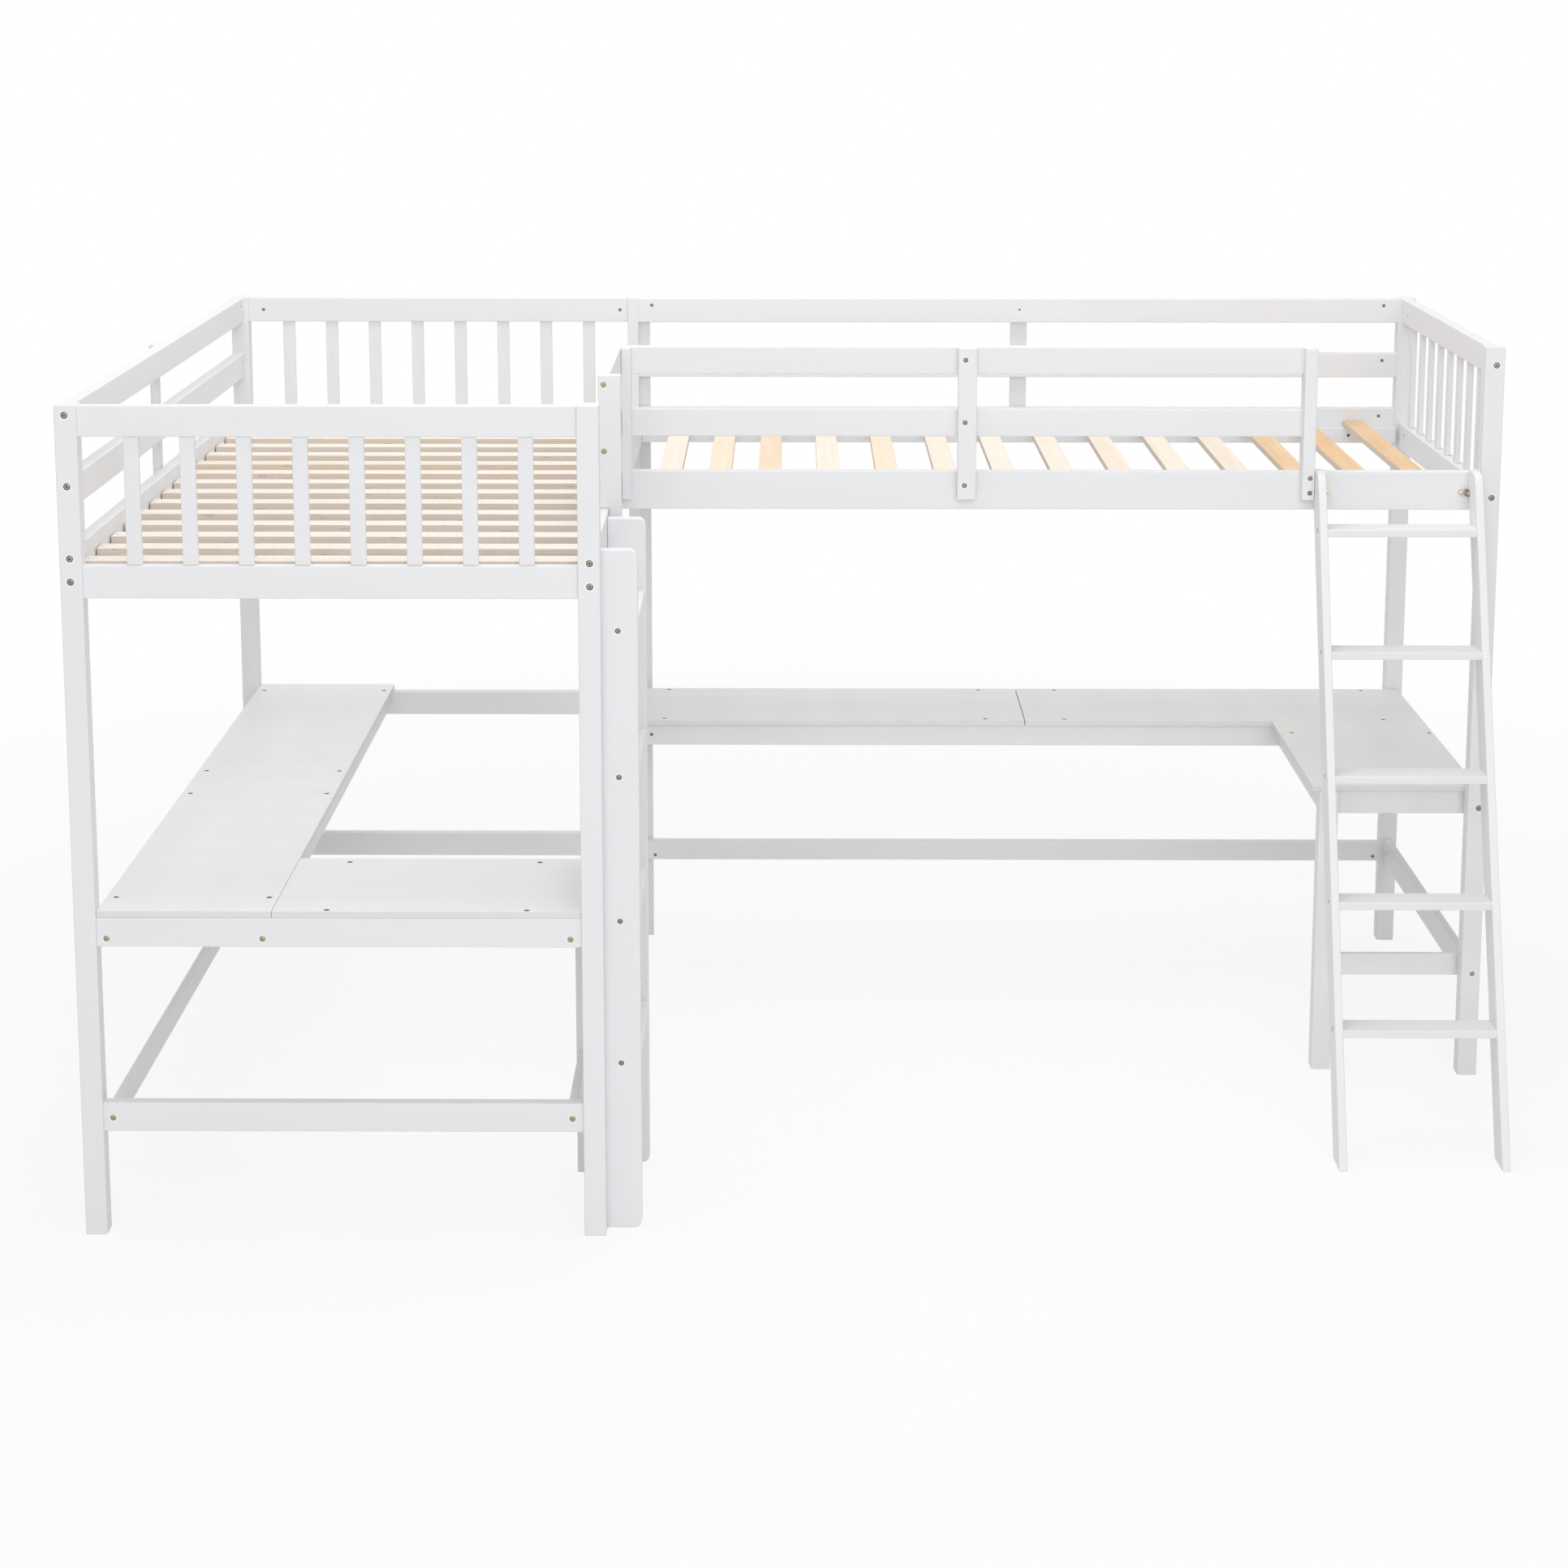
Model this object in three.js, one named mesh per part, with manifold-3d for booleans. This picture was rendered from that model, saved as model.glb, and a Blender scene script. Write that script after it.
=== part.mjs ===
// L-shaped loft bed: two raised twin beds meet at a right angle over a wrap-around desk shelf.
// Bed A runs front to back on the left, bed B runs left to right along the back.
// Millimetres, +X to the right, +Y to the back, +Z up; the origin is on the floor under the middle.
import * as THREE from "three";
import { mergeVertices } from "three/addons/utils/BufferGeometryUtils.js";
import Module from "manifold-3d";

const wasm = await Module();
wasm.setup();

// Beds and posts
const bedWidth = 1068;
const bedALength = 2020;
const bedBLength = 2030;
const postSize = 44;
const postHeight = 1719;
const cornerPostWidth = 56;
const cornerRebateWidth = 28;
const jointGap = 0.3;
const edgeChamfer = 2;
const letIn = 1;
const guardProud = 1.5;

// Side rails that carry the mattress slats
const railThick = 27;
const sideRailDrop = 286;
const sideRailHeight = 88;
const leftRailRecess = 4.5;

// End panels
const panelBottomRailDrop = 14;
const panelBottomRailHeight = 66;
const panelSlatWidth = 30.5;
const panelSlatThick = 11;
const panelSlatPitch = 111;
const panelSlatCount = 8;
const tenonLength = 12;

// Guard rails and the short posts that carry them
const guardDrop = 2;
const guardHeight = 62;
const guardGap = 80;
const guardLap = 62;
const supportWidth = 42;
const supportThick = 17;
const entryLadderGap = 41;
const entryPostWidth = 47.5;
const shortRailOffset = 6;
const shortRailThick = 23.5;
const shortPostDepth = 45;
const leftShortPostWidth = 21.5;
const rightShortPostWidth = 28;

// Mattress slats and the battens under them
const battenWidth = 20;
const battenHeight = 40;
const slatWidth = 52.5;
const slatThick = 15;
const slatEndGap = 3;
const slatCountA = 15;
const slatFirstB = 78.5;
const slatClosePitchB = 116;
const slatCloseCountB = 2;
const slatLastGapB = 82.5;
const slatCountB = 14;
const battenLetIn = 0.5;

// Desk shelf
const deskTop = 688;
const deskBoardThick = 14;
const deskSeam = 0.8;
const deskMiddleSeam = 2;
const deskSideDepth = 353;
const deskFrontDepth = 377;
const deskEdgeInset = 9;
const deskBackDepth = 350;
const deskBackGap = 6;
const deskEndWidth = 382;
const deskEndInset = 14;
const deskLegInsetA = 37;
const deskLegDepthA = 342;
const deskLegInsetB = 380;
const deskLegOffsetB = 36;
const deskRailHeightA = 61;
const deskRailHeightB = 54;
const deskRailRecess = 15;
const slimRailThick = 18;
const slimRailHeight = 45;
const leftSlimInset = 9.5;
const legSlimInset = 5;
const slimSetback = 10;
const deskEndRailSetback = 7;

// Stretchers near the floor
const stretcherBottomA = 220.5;
const stretcherHeightA = 61.5;
const stretcherRiseBackA = 6;
const slimStretcherBottom = 231;
const stretcherBottomB = 219;
const stretcherHeightB = 51;
const stretcherRiseFrontB = 9;
const stretcherRightBottom = 215.5;
const stretcherRightHeight = 65;
const stretcherRightInset = 11;

// Upright ladder beside bed A
const ladderAWidth = 383;
const ladderADepth = 80;
const ladderATopDrop = 9.5;
const ladderACornerRadius = 16;
const ladderAFirstTread = 368.5;
const ladderATopTreadDrop = 152;
const ladderATreadCount = 4;
const ladderATreadThick = 25;
const ladderATreadInset = 2;

// Leaning ladder in front of bed B
const ladderBWidth = 370;
const ladderBEndGap = 9;
const ladderBSideThick = 18;
const ladderBFootDepth = 80;
const ladderBLeanDegrees = 20.5;
const ladderBTopRise = 6.5;
const ladderBPlumbCut = 35;
const ladderBCornerRadius = 28;
const ladderBFirstTread = 281.5;
const ladderBTopTreadDrop = 120.4;
const ladderBTreadCount = 5;
const ladderBTreadThick = 17;

// Places that several pieces share
const innerX = bedWidth - postSize;
const endX = innerX + bedBLength - postSize;
const farX = endX + postSize;
const backY = bedALength - postSize;
const bedBFrontY = bedALength - bedWidth;
const railRecess = (postSize - railThick) / 2;
const sideRailTop = postHeight - sideRailDrop;
const sideRailBottom = sideRailTop - sideRailHeight;
const guardTop = postHeight - guardDrop;
const guardMiddleTop = guardTop - guardHeight - guardGap;
const guardLapBottom = sideRailTop - guardLap;
const slatBottom = sideRailBottom + battenHeight;
const deskUnderside = deskTop - deskBoardThick;
const ladderAHeight = sideRailTop - ladderATopDrop;
const ladderBHeight = sideRailTop + ladderBTopRise;

// A span of a given size that starts at a place.
function from(start, size) {
  return [start, start + size];
}

// A span between two faces, drawn in by the joint gap at both ends.
function between(start, end) {
  return [start + jointGap, end - jointGap];
}

// The thickness of a rail centred on a post that starts at a place.
function centredRail(postStart) {
  return from(postStart + railRecess, railThick);
}

// Where the rails lie: left, right, front and back of the two beds, and the right-hand end
const sideLeftX = from(leftRailRecess, railThick);
const sideRightX = centredRail(innerX);
const bedBFrontRailY = centredRail(bedBFrontY);
const bedBBackRailY = from(backY, railThick);
const frontRailY = centredRail(0);
const backRailY = centredRail(backY);
const endRailX = centredRail(endX);

// How long they are: between the faces of the posts at their ends
const cornerStepX = innerX + cornerPostWidth - cornerRebateWidth;
const spanAX = between(postSize, innerX);
const spanAY = between(postSize, backY);
const spanBX = between(cornerStepX, endX);
const spanBY = between(bedBFrontY + postSize, backY);

const paint = { color: 0xe9e9ec, roughness: 0.45, metalness: 0 };
const barewood = { color: 0xdcab78, roughness: 0.7, metalness: 0 };

// Turns a solid drawn in its own x and y and pushed out along z, so that z lies along a named axis.
const turns = {
  x: new THREE.Matrix4().set(0, 0, 1, 0, 1, 0, 0, 0, 0, 1, 0, 0, 0, 0, 0, 1),
  y: new THREE.Matrix4().set(0, 1, 0, 0, 0, 0, 1, 0, 1, 0, 0, 0, 0, 0, 0, 1),
  z: new THREE.Matrix4(),
};
const outlineAxes = { x: ["y", "z"], y: ["z", "x"], z: ["x", "y"] };

// An outline pushed out along an axis over a span.
function prism(outline, along, span) {
  const length = span[1] - span[0];
  const geometry = new THREE.ExtrudeGeometry(outline, { depth: length, bevelEnabled: false });
  geometry.translate(0, 0, -length / 2);
  const mesh = new THREE.Mesh(geometry);
  mesh.setRotationFromMatrix(turns[along]);
  mesh.position[along] = (span[0] + span[1]) / 2;
  return mesh;
}

// A sawn board that fills a space, with its four long edges chamfered.
function board(space, along) {
  const [across, up] = outlineAxes[along];
  const [left, right] = space[across];
  const [low, high] = space[up];
  const cut = Math.min(edgeChamfer, (right - left) / 4, (high - low) / 4);
  const outline = new THREE.Shape([
    new THREE.Vector2(left + cut, low),
    new THREE.Vector2(right - cut, low),
    new THREE.Vector2(right, low + cut),
    new THREE.Vector2(right, high - cut),
    new THREE.Vector2(right - cut, high),
    new THREE.Vector2(left + cut, high),
    new THREE.Vector2(left, high - cut),
    new THREE.Vector2(left, low + cut),
  ]);
  return prism(outline, along, space[along]);
}

// A placed mesh as a solid that can be joined to others.
function solidOf(mesh) {
  mesh.updateMatrix();
  const geometry = mesh.geometry.clone().applyMatrix4(mesh.matrix);
  geometry.deleteAttribute("normal");
  geometry.deleteAttribute("uv");
  const merged = mergeVertices(geometry);
  return new wasm.Manifold(
    new wasm.Mesh({
      numProp: 3,
      vertProperties: merged.attributes.position.array,
      triVerts: new Uint32Array(merged.index.array),
    }),
  );
}

// Boards glued or bolted into one stiff unit.
function joined(meshes) {
  const solid = meshes.map(solidOf).reduce((whole, piece) => whole.add(piece));
  const { vertProperties, triVerts } = solid.getMesh();
  const shared = new THREE.BufferGeometry();
  shared.setAttribute("position", new THREE.BufferAttribute(vertProperties, 3));
  shared.setIndex(new THREE.BufferAttribute(triVerts, 1));
  const geometry = shared.toNonIndexed();
  geometry.computeVertexNormals();
  return new THREE.Mesh(geometry);
}

const bed = new THREE.Group();

// Names a piece, gives it its finish and puts it in the bed.
function place(name, look, mesh) {
  mesh.name = name;
  mesh.material = new THREE.MeshStandardMaterial(look);
  bed.add(mesh);
}

// Posts and legs
function post(name, x, y, height) {
  place(name, paint, board({ x: from(x, postSize), y: from(y, postSize), z: [0, height] }, "z"));
}

// The shared post at the back of the corner, rebated so that bed B's back rails lie in it.
function cornerPost() {
  const cornerX = innerX + cornerPostWidth;
  const stepY = bedBBackRailY[1] + guardProud + jointGap;
  const outline = new THREE.Shape([
    new THREE.Vector2(innerX, backY),
    new THREE.Vector2(cornerStepX, backY),
    new THREE.Vector2(cornerStepX, stepY),
    new THREE.Vector2(cornerX, stepY),
    new THREE.Vector2(cornerX, bedALength),
    new THREE.Vector2(innerX, bedALength),
  ]);
  place("post_middle_back", paint, prism(outline, "z", [0, postHeight]));
}

const legAX = bedWidth - deskLegInsetA - postSize;
const legBX = farX - deskLegInsetB;
const legBY = bedBFrontY + deskLegOffsetB;

function posts() {
  post("post_a_front_left", 0, 0, postHeight);
  post("post_a_front_right", innerX, 0, postHeight);
  post("post_a_back_left", 0, backY, postHeight);
  cornerPost();
  post("post_b_back_right", endX, backY, postHeight);
  post("post_b_front_right", endX, bedBFrontY, postHeight);
  post("leg_b_front_left", sideRightX[1] - postSize, bedBFrontY, sideRailBottom - jointGap);
  post("desk_leg_a", legAX, deskLegDepthA, deskUnderside - jointGap);
  post("desk_leg_b", legBX, legBY, deskUnderside - jointGap);
}

// Side rails: left and right of bed A, front and back of bed B
function sideRails() {
  const z = from(sideRailBottom, sideRailHeight);
  const frontX = between(sideRightX[1], endX);
  place("side_rail_a_left", paint, board({ x: sideLeftX, y: spanAY, z }, "y"));
  place("side_rail_a_right", paint, board({ x: sideRightX, y: spanAY, z }, "y"));
  place("side_rail_b_front", paint, board({ x: frontX, y: bedBFrontRailY, z }, "x"));
  place("side_rail_b_back", paint, board({ x: spanBX, y: bedBBackRailY, z }, "x"));
}

// End panel: two rails with evenly spaced upright slats tenoned into them.
function endPanel(name, along, span, depth) {
  const across = along === "x" ? "y" : "x";
  const slatDepth = from((depth[0] + depth[1] - panelSlatThick) / 2, panelSlatThick);
  const bottomRail = from(sideRailBottom - panelBottomRailDrop, panelBottomRailHeight);
  const topRail = [guardTop - guardHeight, guardTop];
  const slatZ = [bottomRail[1] - tenonLength, topRail[0] + tenonLength];
  const patternWidth = (panelSlatCount - 1) * panelSlatPitch + panelSlatWidth;
  const firstSlat = (span[0] + span[1] - patternWidth) / 2;
  const pieces = [bottomRail, topRail].map((z) =>
    board({ [along]: span, [across]: depth, z }, along),
  );
  for (let i = 0; i < panelSlatCount; i += 1) {
    const slatSpan = from(firstSlat + i * panelSlatPitch, panelSlatWidth);
    pieces.push(board({ [along]: slatSpan, [across]: slatDepth, z: slatZ }, "z"));
  }
  place(name, paint, joined(pieces));
}

function endPanels() {
  endPanel("end_panel_a_front", "x", spanAX, frontRailY);
  endPanel("end_panel_a_back", "x", spanAX, backRailY);
  endPanel("end_panel_b_right", "y", spanBY, endRailX);
}

// The two horizontal rails of a guard, over one length and depth.
function guardPair(along, span, depth) {
  const across = along === "x" ? "y" : "x";
  return [guardTop, guardMiddleTop].map((top) =>
    board({ [along]: span, [across]: depth, z: [top - guardHeight, top] }, along),
  );
}

// A short post whose foot steps over the side rail: the inner part stands on the rail's top
// and the outer lip hangs down the rail's outer face. Outline in its depth and height.
function steppedOutline(outer, inner, railFace) {
  const seat = sideRailTop + jointGap;
  return [
    new THREE.Vector2(outer, guardLapBottom),
    new THREE.Vector2(railFace, guardLapBottom),
    new THREE.Vector2(railFace, seat),
    new THREE.Vector2(inner, seat),
    new THREE.Vector2(inner, guardTop),
    new THREE.Vector2(outer, guardTop),
  ];
}

const supportZ = [guardLapBottom, guardTop];

// Guard of bed A's left side, with its middle support on the outer face.
// The guard rails stand slightly proud of the side rail below, so that the support seats on them.
function guardALeft() {
  const [outer, inner] = sideLeftX;
  const supportY = from((bedALength - supportWidth) / 2, supportWidth);
  const supportX = [outer - supportThick, outer - jointGap];
  const support = board({ x: supportX, y: supportY, z: supportZ }, "z");
  const rails = guardPair("y", spanAY, [outer - guardProud, inner]);
  place("guard_a_left", paint, joined([...rails, support]));
}

// Guard of bed B's back side, with its middle support behind it.
function guardBBack() {
  const [inner, outer] = bedBBackRailY;
  const supportX = from((sideRightX[1] + endX - supportWidth) / 2, supportWidth);
  const supportY = [outer + jointGap, outer + supportThick];
  const support = board({ x: supportX, y: supportY, z: supportZ }, "z");
  const rails = guardPair("x", spanBX, [inner, outer + guardProud]);
  place("guard_b_back", paint, joined([...rails, support]));
}

const entryPostY = from(postSize + ladderAWidth + entryLadderGap, railThick);
const shortRailX = from(sideRightX[0] + shortRailOffset, shortRailThick);
const shortPostY = from(bedBFrontRailY[0] - railThick, shortPostDepth);

// Guard of bed A's right side: short rails from the climb-in post to the corner.
function guardARight() {
  const outer = shortRailX[0] + entryPostWidth;
  const outline = steppedOutline(outer, shortRailX[0], sideRightX[1] + jointGap);
  const turned = outline.map((point) => new THREE.Vector2(point.y, point.x));
  const entryPost = prism(new THREE.Shape(turned), "y", entryPostY);
  const rails = guardPair("y", [entryPostY[1] - letIn, shortPostY[1]], shortRailX);
  place("guard_a_right", paint, joined([...rails, entryPost]));
}

const ladderBX = [endX - ladderBEndGap - ladderBWidth, endX - ladderBEndGap];
const leftPostX = from(shortRailX[1] + jointGap, leftShortPostWidth);
const rightPostX = from(ladderBX[0] - jointGap - rightShortPostWidth, rightShortPostWidth);

// Guard of bed B's front side: rails between two stepped posts, and a middle post in front.
function guardBFront() {
  const [outer, inner] = bedBFrontRailY;
  const lipBack = outer - jointGap;
  const stepped = new THREE.Shape(steppedOutline(shortPostY[0], shortPostY[1], lipBack));
  const middleX = (leftPostX[1] + rightPostX[0] - supportWidth) / 2;
  const middle = { x: from(middleX, supportWidth), y: [shortPostY[0], lipBack], z: supportZ };
  const pieces = [
    ...guardPair("x", [leftPostX[1] - letIn, rightPostX[0] + letIn], [outer - guardProud, inner]),
    prism(stepped, "x", leftPostX),
    prism(stepped, "x", rightPostX),
    board(middle, "z"),
  ];
  place("guard_b_front", paint, joined(pieces));
}

// Two battens and the mattress slats screwed down on them, lying between two side rails.
function slatBase(name, along, battenSpan, inside, slatStarts) {
  const across = along === "x" ? "y" : "x";
  const battenZ = [sideRailBottom, slatBottom + battenLetIn];
  const battenDepths = [
    from(inside[0] + jointGap, battenWidth),
    from(inside[1] - jointGap - battenWidth, battenWidth),
  ];
  const pieces = battenDepths.map((depth) =>
    board({ [across]: battenSpan, [along]: depth, z: battenZ }, across),
  );
  const slatSpan = [inside[0] + slatEndGap, inside[1] - slatEndGap];
  for (const start of slatStarts) {
    const slat = { [along]: slatSpan, [across]: from(start, slatWidth), z: from(slatBottom, slatThick) };
    pieces.push(board(slat, along));
  }
  place(name, barewood, joined(pieces));
}

function slatBases() {
  const firstA = postSize + slatEndGap;
  const pitchA = (bedALength - 2 * firstA - slatWidth) / (slatCountA - 1);
  const startsA = Array.from({ length: slatCountA }, (_, i) => firstA + i * pitchA);
  slatBase("slat_base_a", "x", spanAY, [sideLeftX[1], sideRightX[0]], startsA);

  const firstB = sideRightX[1] + slatFirstB;
  const firstWideB = firstB + slatCloseCountB * slatClosePitchB;
  const lastB = endX - slatLastGapB - slatWidth;
  const widePitchB = (lastB - firstWideB) / (slatCountB - 1 - slatCloseCountB);
  const startsB = Array.from({ length: slatCountB }, (_, i) =>
    i < slatCloseCountB ? firstB + i * slatClosePitchB : firstWideB + (i - slatCloseCountB) * widePitchB,
  );
  const battenX = between(sideRightX[1], endX);
  slatBase("slat_base_b", "y", battenX, [bedBFrontRailY[1], bedBBackRailY[0]], startsB);
}

// Desk shelf: boards on top of a low frame of rails
const deskZ = [deskUnderside, deskTop];
const deskRailZA = [deskUnderside - jointGap - deskRailHeightA, deskUnderside - jointGap];
const deskRailZB = [deskUnderside - jointGap - deskRailHeightB, deskUnderside - jointGap];
const slimZ = [deskUnderside - jointGap - slimRailHeight, deskUnderside - jointGap];
const deskSideX = from(postSize + jointGap, deskSideDepth);
const deskBackY = [backY - deskBackGap - deskBackDepth, backY - deskBackGap];
const deskEndX = [farX - deskEndInset - deskEndWidth, farX - deskEndInset];
const deskEndFrontY = bedBFrontY + postSize + jointGap;

function deskBoardsA() {
  const halfLength = (bedALength - 2 * deskEdgeInset - deskSeam) / 2;
  const frontX = [deskSideX[1] + deskSeam, innerX - jointGap];
  const nearY = from(deskEdgeInset, halfLength);
  const farY = from(nearY[1] + deskSeam, halfLength);
  const frontY = from(deskEdgeInset, deskFrontDepth);
  place("desk_board_a_side_front", paint, board({ x: deskSideX, y: nearY, z: deskZ }, "y"));
  place("desk_board_a_side_back", paint, board({ x: deskSideX, y: farY, z: deskZ }, "y"));
  place("desk_board_a_front", paint, board({ x: frontX, y: frontY, z: deskZ }, "x"));
}

function deskBoardsB() {
  const halfLength = (deskEndX[1] - sideRightX[0] - deskMiddleSeam) / 2;
  const leftX = from(sideRightX[0], halfLength);
  const rightHalfX = from(leftX[1] + deskMiddleSeam, halfLength);
  const endY = [deskEndFrontY, deskBackY[0] - deskSeam];
  place("desk_board_b_back_left", paint, board({ x: leftX, y: deskBackY, z: deskZ }, "x"));
  place("desk_board_b_back_right", paint, board({ x: rightHalfX, y: deskBackY, z: deskZ }, "x"));
  place("desk_board_b_end", paint, board({ x: deskEndX, y: endY, z: deskZ }, "y"));
}

const runAY = between(frontRailY[1], backRailY[0]);
const slimLeftX = from(deskSideX[0] + leftSlimInset, slimRailThick);
const slimInnerX = from(deskSideX[1] - slimSetback - slimRailThick, slimRailThick);
const slimRightX = from(legAX + legSlimInset, slimRailThick);
const slimRightY = between(frontRailY[1], deskLegDepthA);

function deskRailsA() {
  const crossX = between(slimInnerX[1], legAX);
  const crossY = from(deskLegDepthA + slimSetback, slimRailThick);
  const rails = { x: spanAX, z: deskRailZA };
  place("desk_rail_a_front", paint, board({ ...rails, y: frontRailY }, "x"));
  place("desk_rail_a_back", paint, board({ ...rails, y: backRailY }, "x"));
  place("desk_rail_a_left", paint, board({ x: slimLeftX, y: runAY, z: slimZ }, "y"));
  place("desk_rail_a_inner", paint, board({ x: slimInnerX, y: runAY, z: slimZ }, "y"));
  place("desk_rail_a_right", paint, board({ x: slimRightX, y: slimRightY, z: slimZ }, "y"));
  place("desk_rail_a_cross", paint, board({ x: crossX, y: crossY, z: slimZ }, "x"));
}

const endCrossX = between(legBX + postSize, endRailX[0]);
const endCrossY = from(deskEndFrontY + deskEndRailSetback, slimRailThick);

function deskRailsB() {
  const z = deskRailZB;
  const leftY = between(bedBFrontY + postSize, backY);
  const frontX = between(sideRightX[1], endRailX[0]);
  const frontY = from(deskBackY[0] + deskRailRecess, railThick);
  const backRail = [deskBackY[1] - railThick, deskBackY[1]];
  const shelfX = from(legBX + legSlimInset, slimRailThick);
  const shelfY = between(legBY + postSize, frontY[0]);
  place("desk_rail_b_left", paint, board({ x: sideRightX, y: leftY, z }, "y"));
  place("desk_rail_b_front", paint, board({ x: frontX, y: frontY, z }, "x"));
  place("desk_rail_b_back", paint, board({ x: frontX, y: backRail, z }, "x"));
  place("desk_rail_b_right", paint, board({ x: endRailX, y: spanBY, z }, "y"));
  place("desk_rail_b_end_left", paint, board({ x: shelfX, y: shelfY, z }, "y"));
  place("desk_rail_b_end_front", paint, board({ x: endCrossX, y: endCrossY, z }, "x"));
}

function stretchers() {
  const frontZ = from(stretcherBottomA, stretcherHeightA);
  const backZ = from(stretcherBottomA + stretcherRiseBackA, stretcherHeightA);
  const slim = from(slimStretcherBottom, slimRailHeight);
  const backZB = from(stretcherBottomB, stretcherHeightB);
  const frontZB = from(stretcherBottomB + stretcherRiseFrontB, stretcherHeightB);
  const rightX = from(endX + stretcherRightInset, slimRailThick);
  const rightZ = from(stretcherRightBottom, stretcherRightHeight);
  const frontXB = between(legBX + postSize, rightX[0]);
  place("stretcher_a_front", paint, board({ x: spanAX, y: frontRailY, z: frontZ }, "x"));
  place("stretcher_a_back", paint, board({ x: spanAX, y: backRailY, z: backZ }, "x"));
  place("stretcher_a_left", paint, board({ x: slimLeftX, y: runAY, z: slim }, "y"));
  place("stretcher_a_right", paint, board({ x: slimRightX, y: slimRightY, z: slim }, "y"));
  place("stretcher_b_back", paint, board({ x: spanBX, y: bedBBackRailY, z: backZB }, "x"));
  place("stretcher_b_right", paint, board({ x: rightX, y: spanBY, z: rightZ }, "y"));
  place("stretcher_b_front", paint, board({ x: frontXB, y: endCrossY, z: frontZB }, "x"));
}

// Upright ladder: two wide sides against bed A's right rail, with flat treads between them.
// The sides' outer corners are rounded at the top and at the foot.
function ladderA() {
  const inner = sideRightX[1] + jointGap;
  const outer = inner + ladderADepth;
  const radius = Math.min(ladderACornerRadius, ladderADepth / 2);
  const outline = new THREE.Shape();
  outline.moveTo(0, inner);
  outline.lineTo(ladderAHeight, inner);
  outline.lineTo(ladderAHeight, outer - radius);
  outline.absarc(ladderAHeight - radius, outer - radius, radius, 0, Math.PI / 2, false);
  outline.lineTo(radius, outer);
  outline.absarc(radius, outer - radius, radius, Math.PI / 2, Math.PI, false);
  const nearY = from(postSize + jointGap, railThick);
  const farY = from(postSize + ladderAWidth - railThick, railThick);
  place("ladder_a_side_front", paint, prism(outline, "y", nearY));
  place("ladder_a_side_back", paint, prism(outline, "y", farY));
  const rise = ladderAHeight - ladderATopTreadDrop - ladderAFirstTread;
  for (let i = 0; i < ladderATreadCount; i += 1) {
    const top = ladderAFirstTread + (i * rise) / (ladderATreadCount - 1);
    const space = {
      x: [inner + ladderATreadInset, outer - ladderATreadInset],
      y: between(nearY[1], farY[0]),
      z: [top - ladderATreadThick, top],
    };
    place(`ladder_a_tread_${i + 1}`, paint, board(space, "y"));
  }
}

// One side of the leaning ladder: cut level at the foot, plumb where it meets the rail behind it,
// and rounded at the top of its front edge. Outline in its depth and height.
function leaningSide(footBack, wall, frontAt) {
  const top = ladderBHeight;
  const roundFrom = top - ladderBCornerRadius;
  const outline = new THREE.Shape();
  outline.moveTo(frontAt(0), 0);
  outline.lineTo(footBack, 0);
  outline.lineTo(wall, top - ladderBPlumbCut);
  outline.lineTo(wall, top);
  outline.lineTo(frontAt(top) + ladderBCornerRadius, top);
  outline.quadraticCurveTo(frontAt(top), top, frontAt(roundFrom), roundFrom);
  return outline;
}

// Leaning ladder: two sides against bed B's front rail, and level treads between them whose
// front edges are flush with the sides' front edges.
function ladderB() {
  const slope = Math.tan(THREE.MathUtils.degToRad(ladderBLeanDegrees));
  const wall = bedBFrontRailY[0] - jointGap;
  const footBack = wall - (ladderBHeight - ladderBPlumbCut) * slope;
  const frontAt = (z) => footBack - ladderBFootDepth + z * slope;
  const outline = leaningSide(footBack, wall, frontAt);
  const leftX = from(ladderBX[0], ladderBSideThick);
  const rightX = from(ladderBX[1] - ladderBSideThick, ladderBSideThick);
  place("ladder_b_side_left", paint, prism(outline, "x", leftX));
  place("ladder_b_side_right", paint, prism(outline, "x", rightX));
  const rise = ladderBHeight - ladderBTopTreadDrop - ladderBFirstTread;
  for (let i = 0; i < ladderBTreadCount; i += 1) {
    const top = ladderBFirstTread + (i * rise) / (ladderBTreadCount - 1);
    const bottom = top - ladderBTreadThick;
    const y = [frontAt(top), frontAt(bottom) + ladderBFootDepth];
    const tread = board({ x: between(leftX[1], rightX[0]), y, z: [bottom, top] }, "x");
    place(`ladder_b_tread_${i + 1}`, paint, tread);
  }
}

posts();
sideRails();
endPanels();
guardALeft();
guardARight();
guardBFront();
guardBBack();
slatBases();
deskBoardsA();
deskBoardsB();
deskRailsA();
deskRailsB();
stretchers();
ladderA();
ladderB();

// The frame's origin is under the middle of the whole bed.
const whole = new THREE.Box3().setFromObject(bed);
bed.position.set(-(whole.min.x + whole.max.x) / 2, -(whole.min.y + whole.max.y) / 2, 0);

const loftBed = new THREE.Group();
loftBed.add(bed);

export default loftBed;
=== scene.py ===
import math
import random

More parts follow.
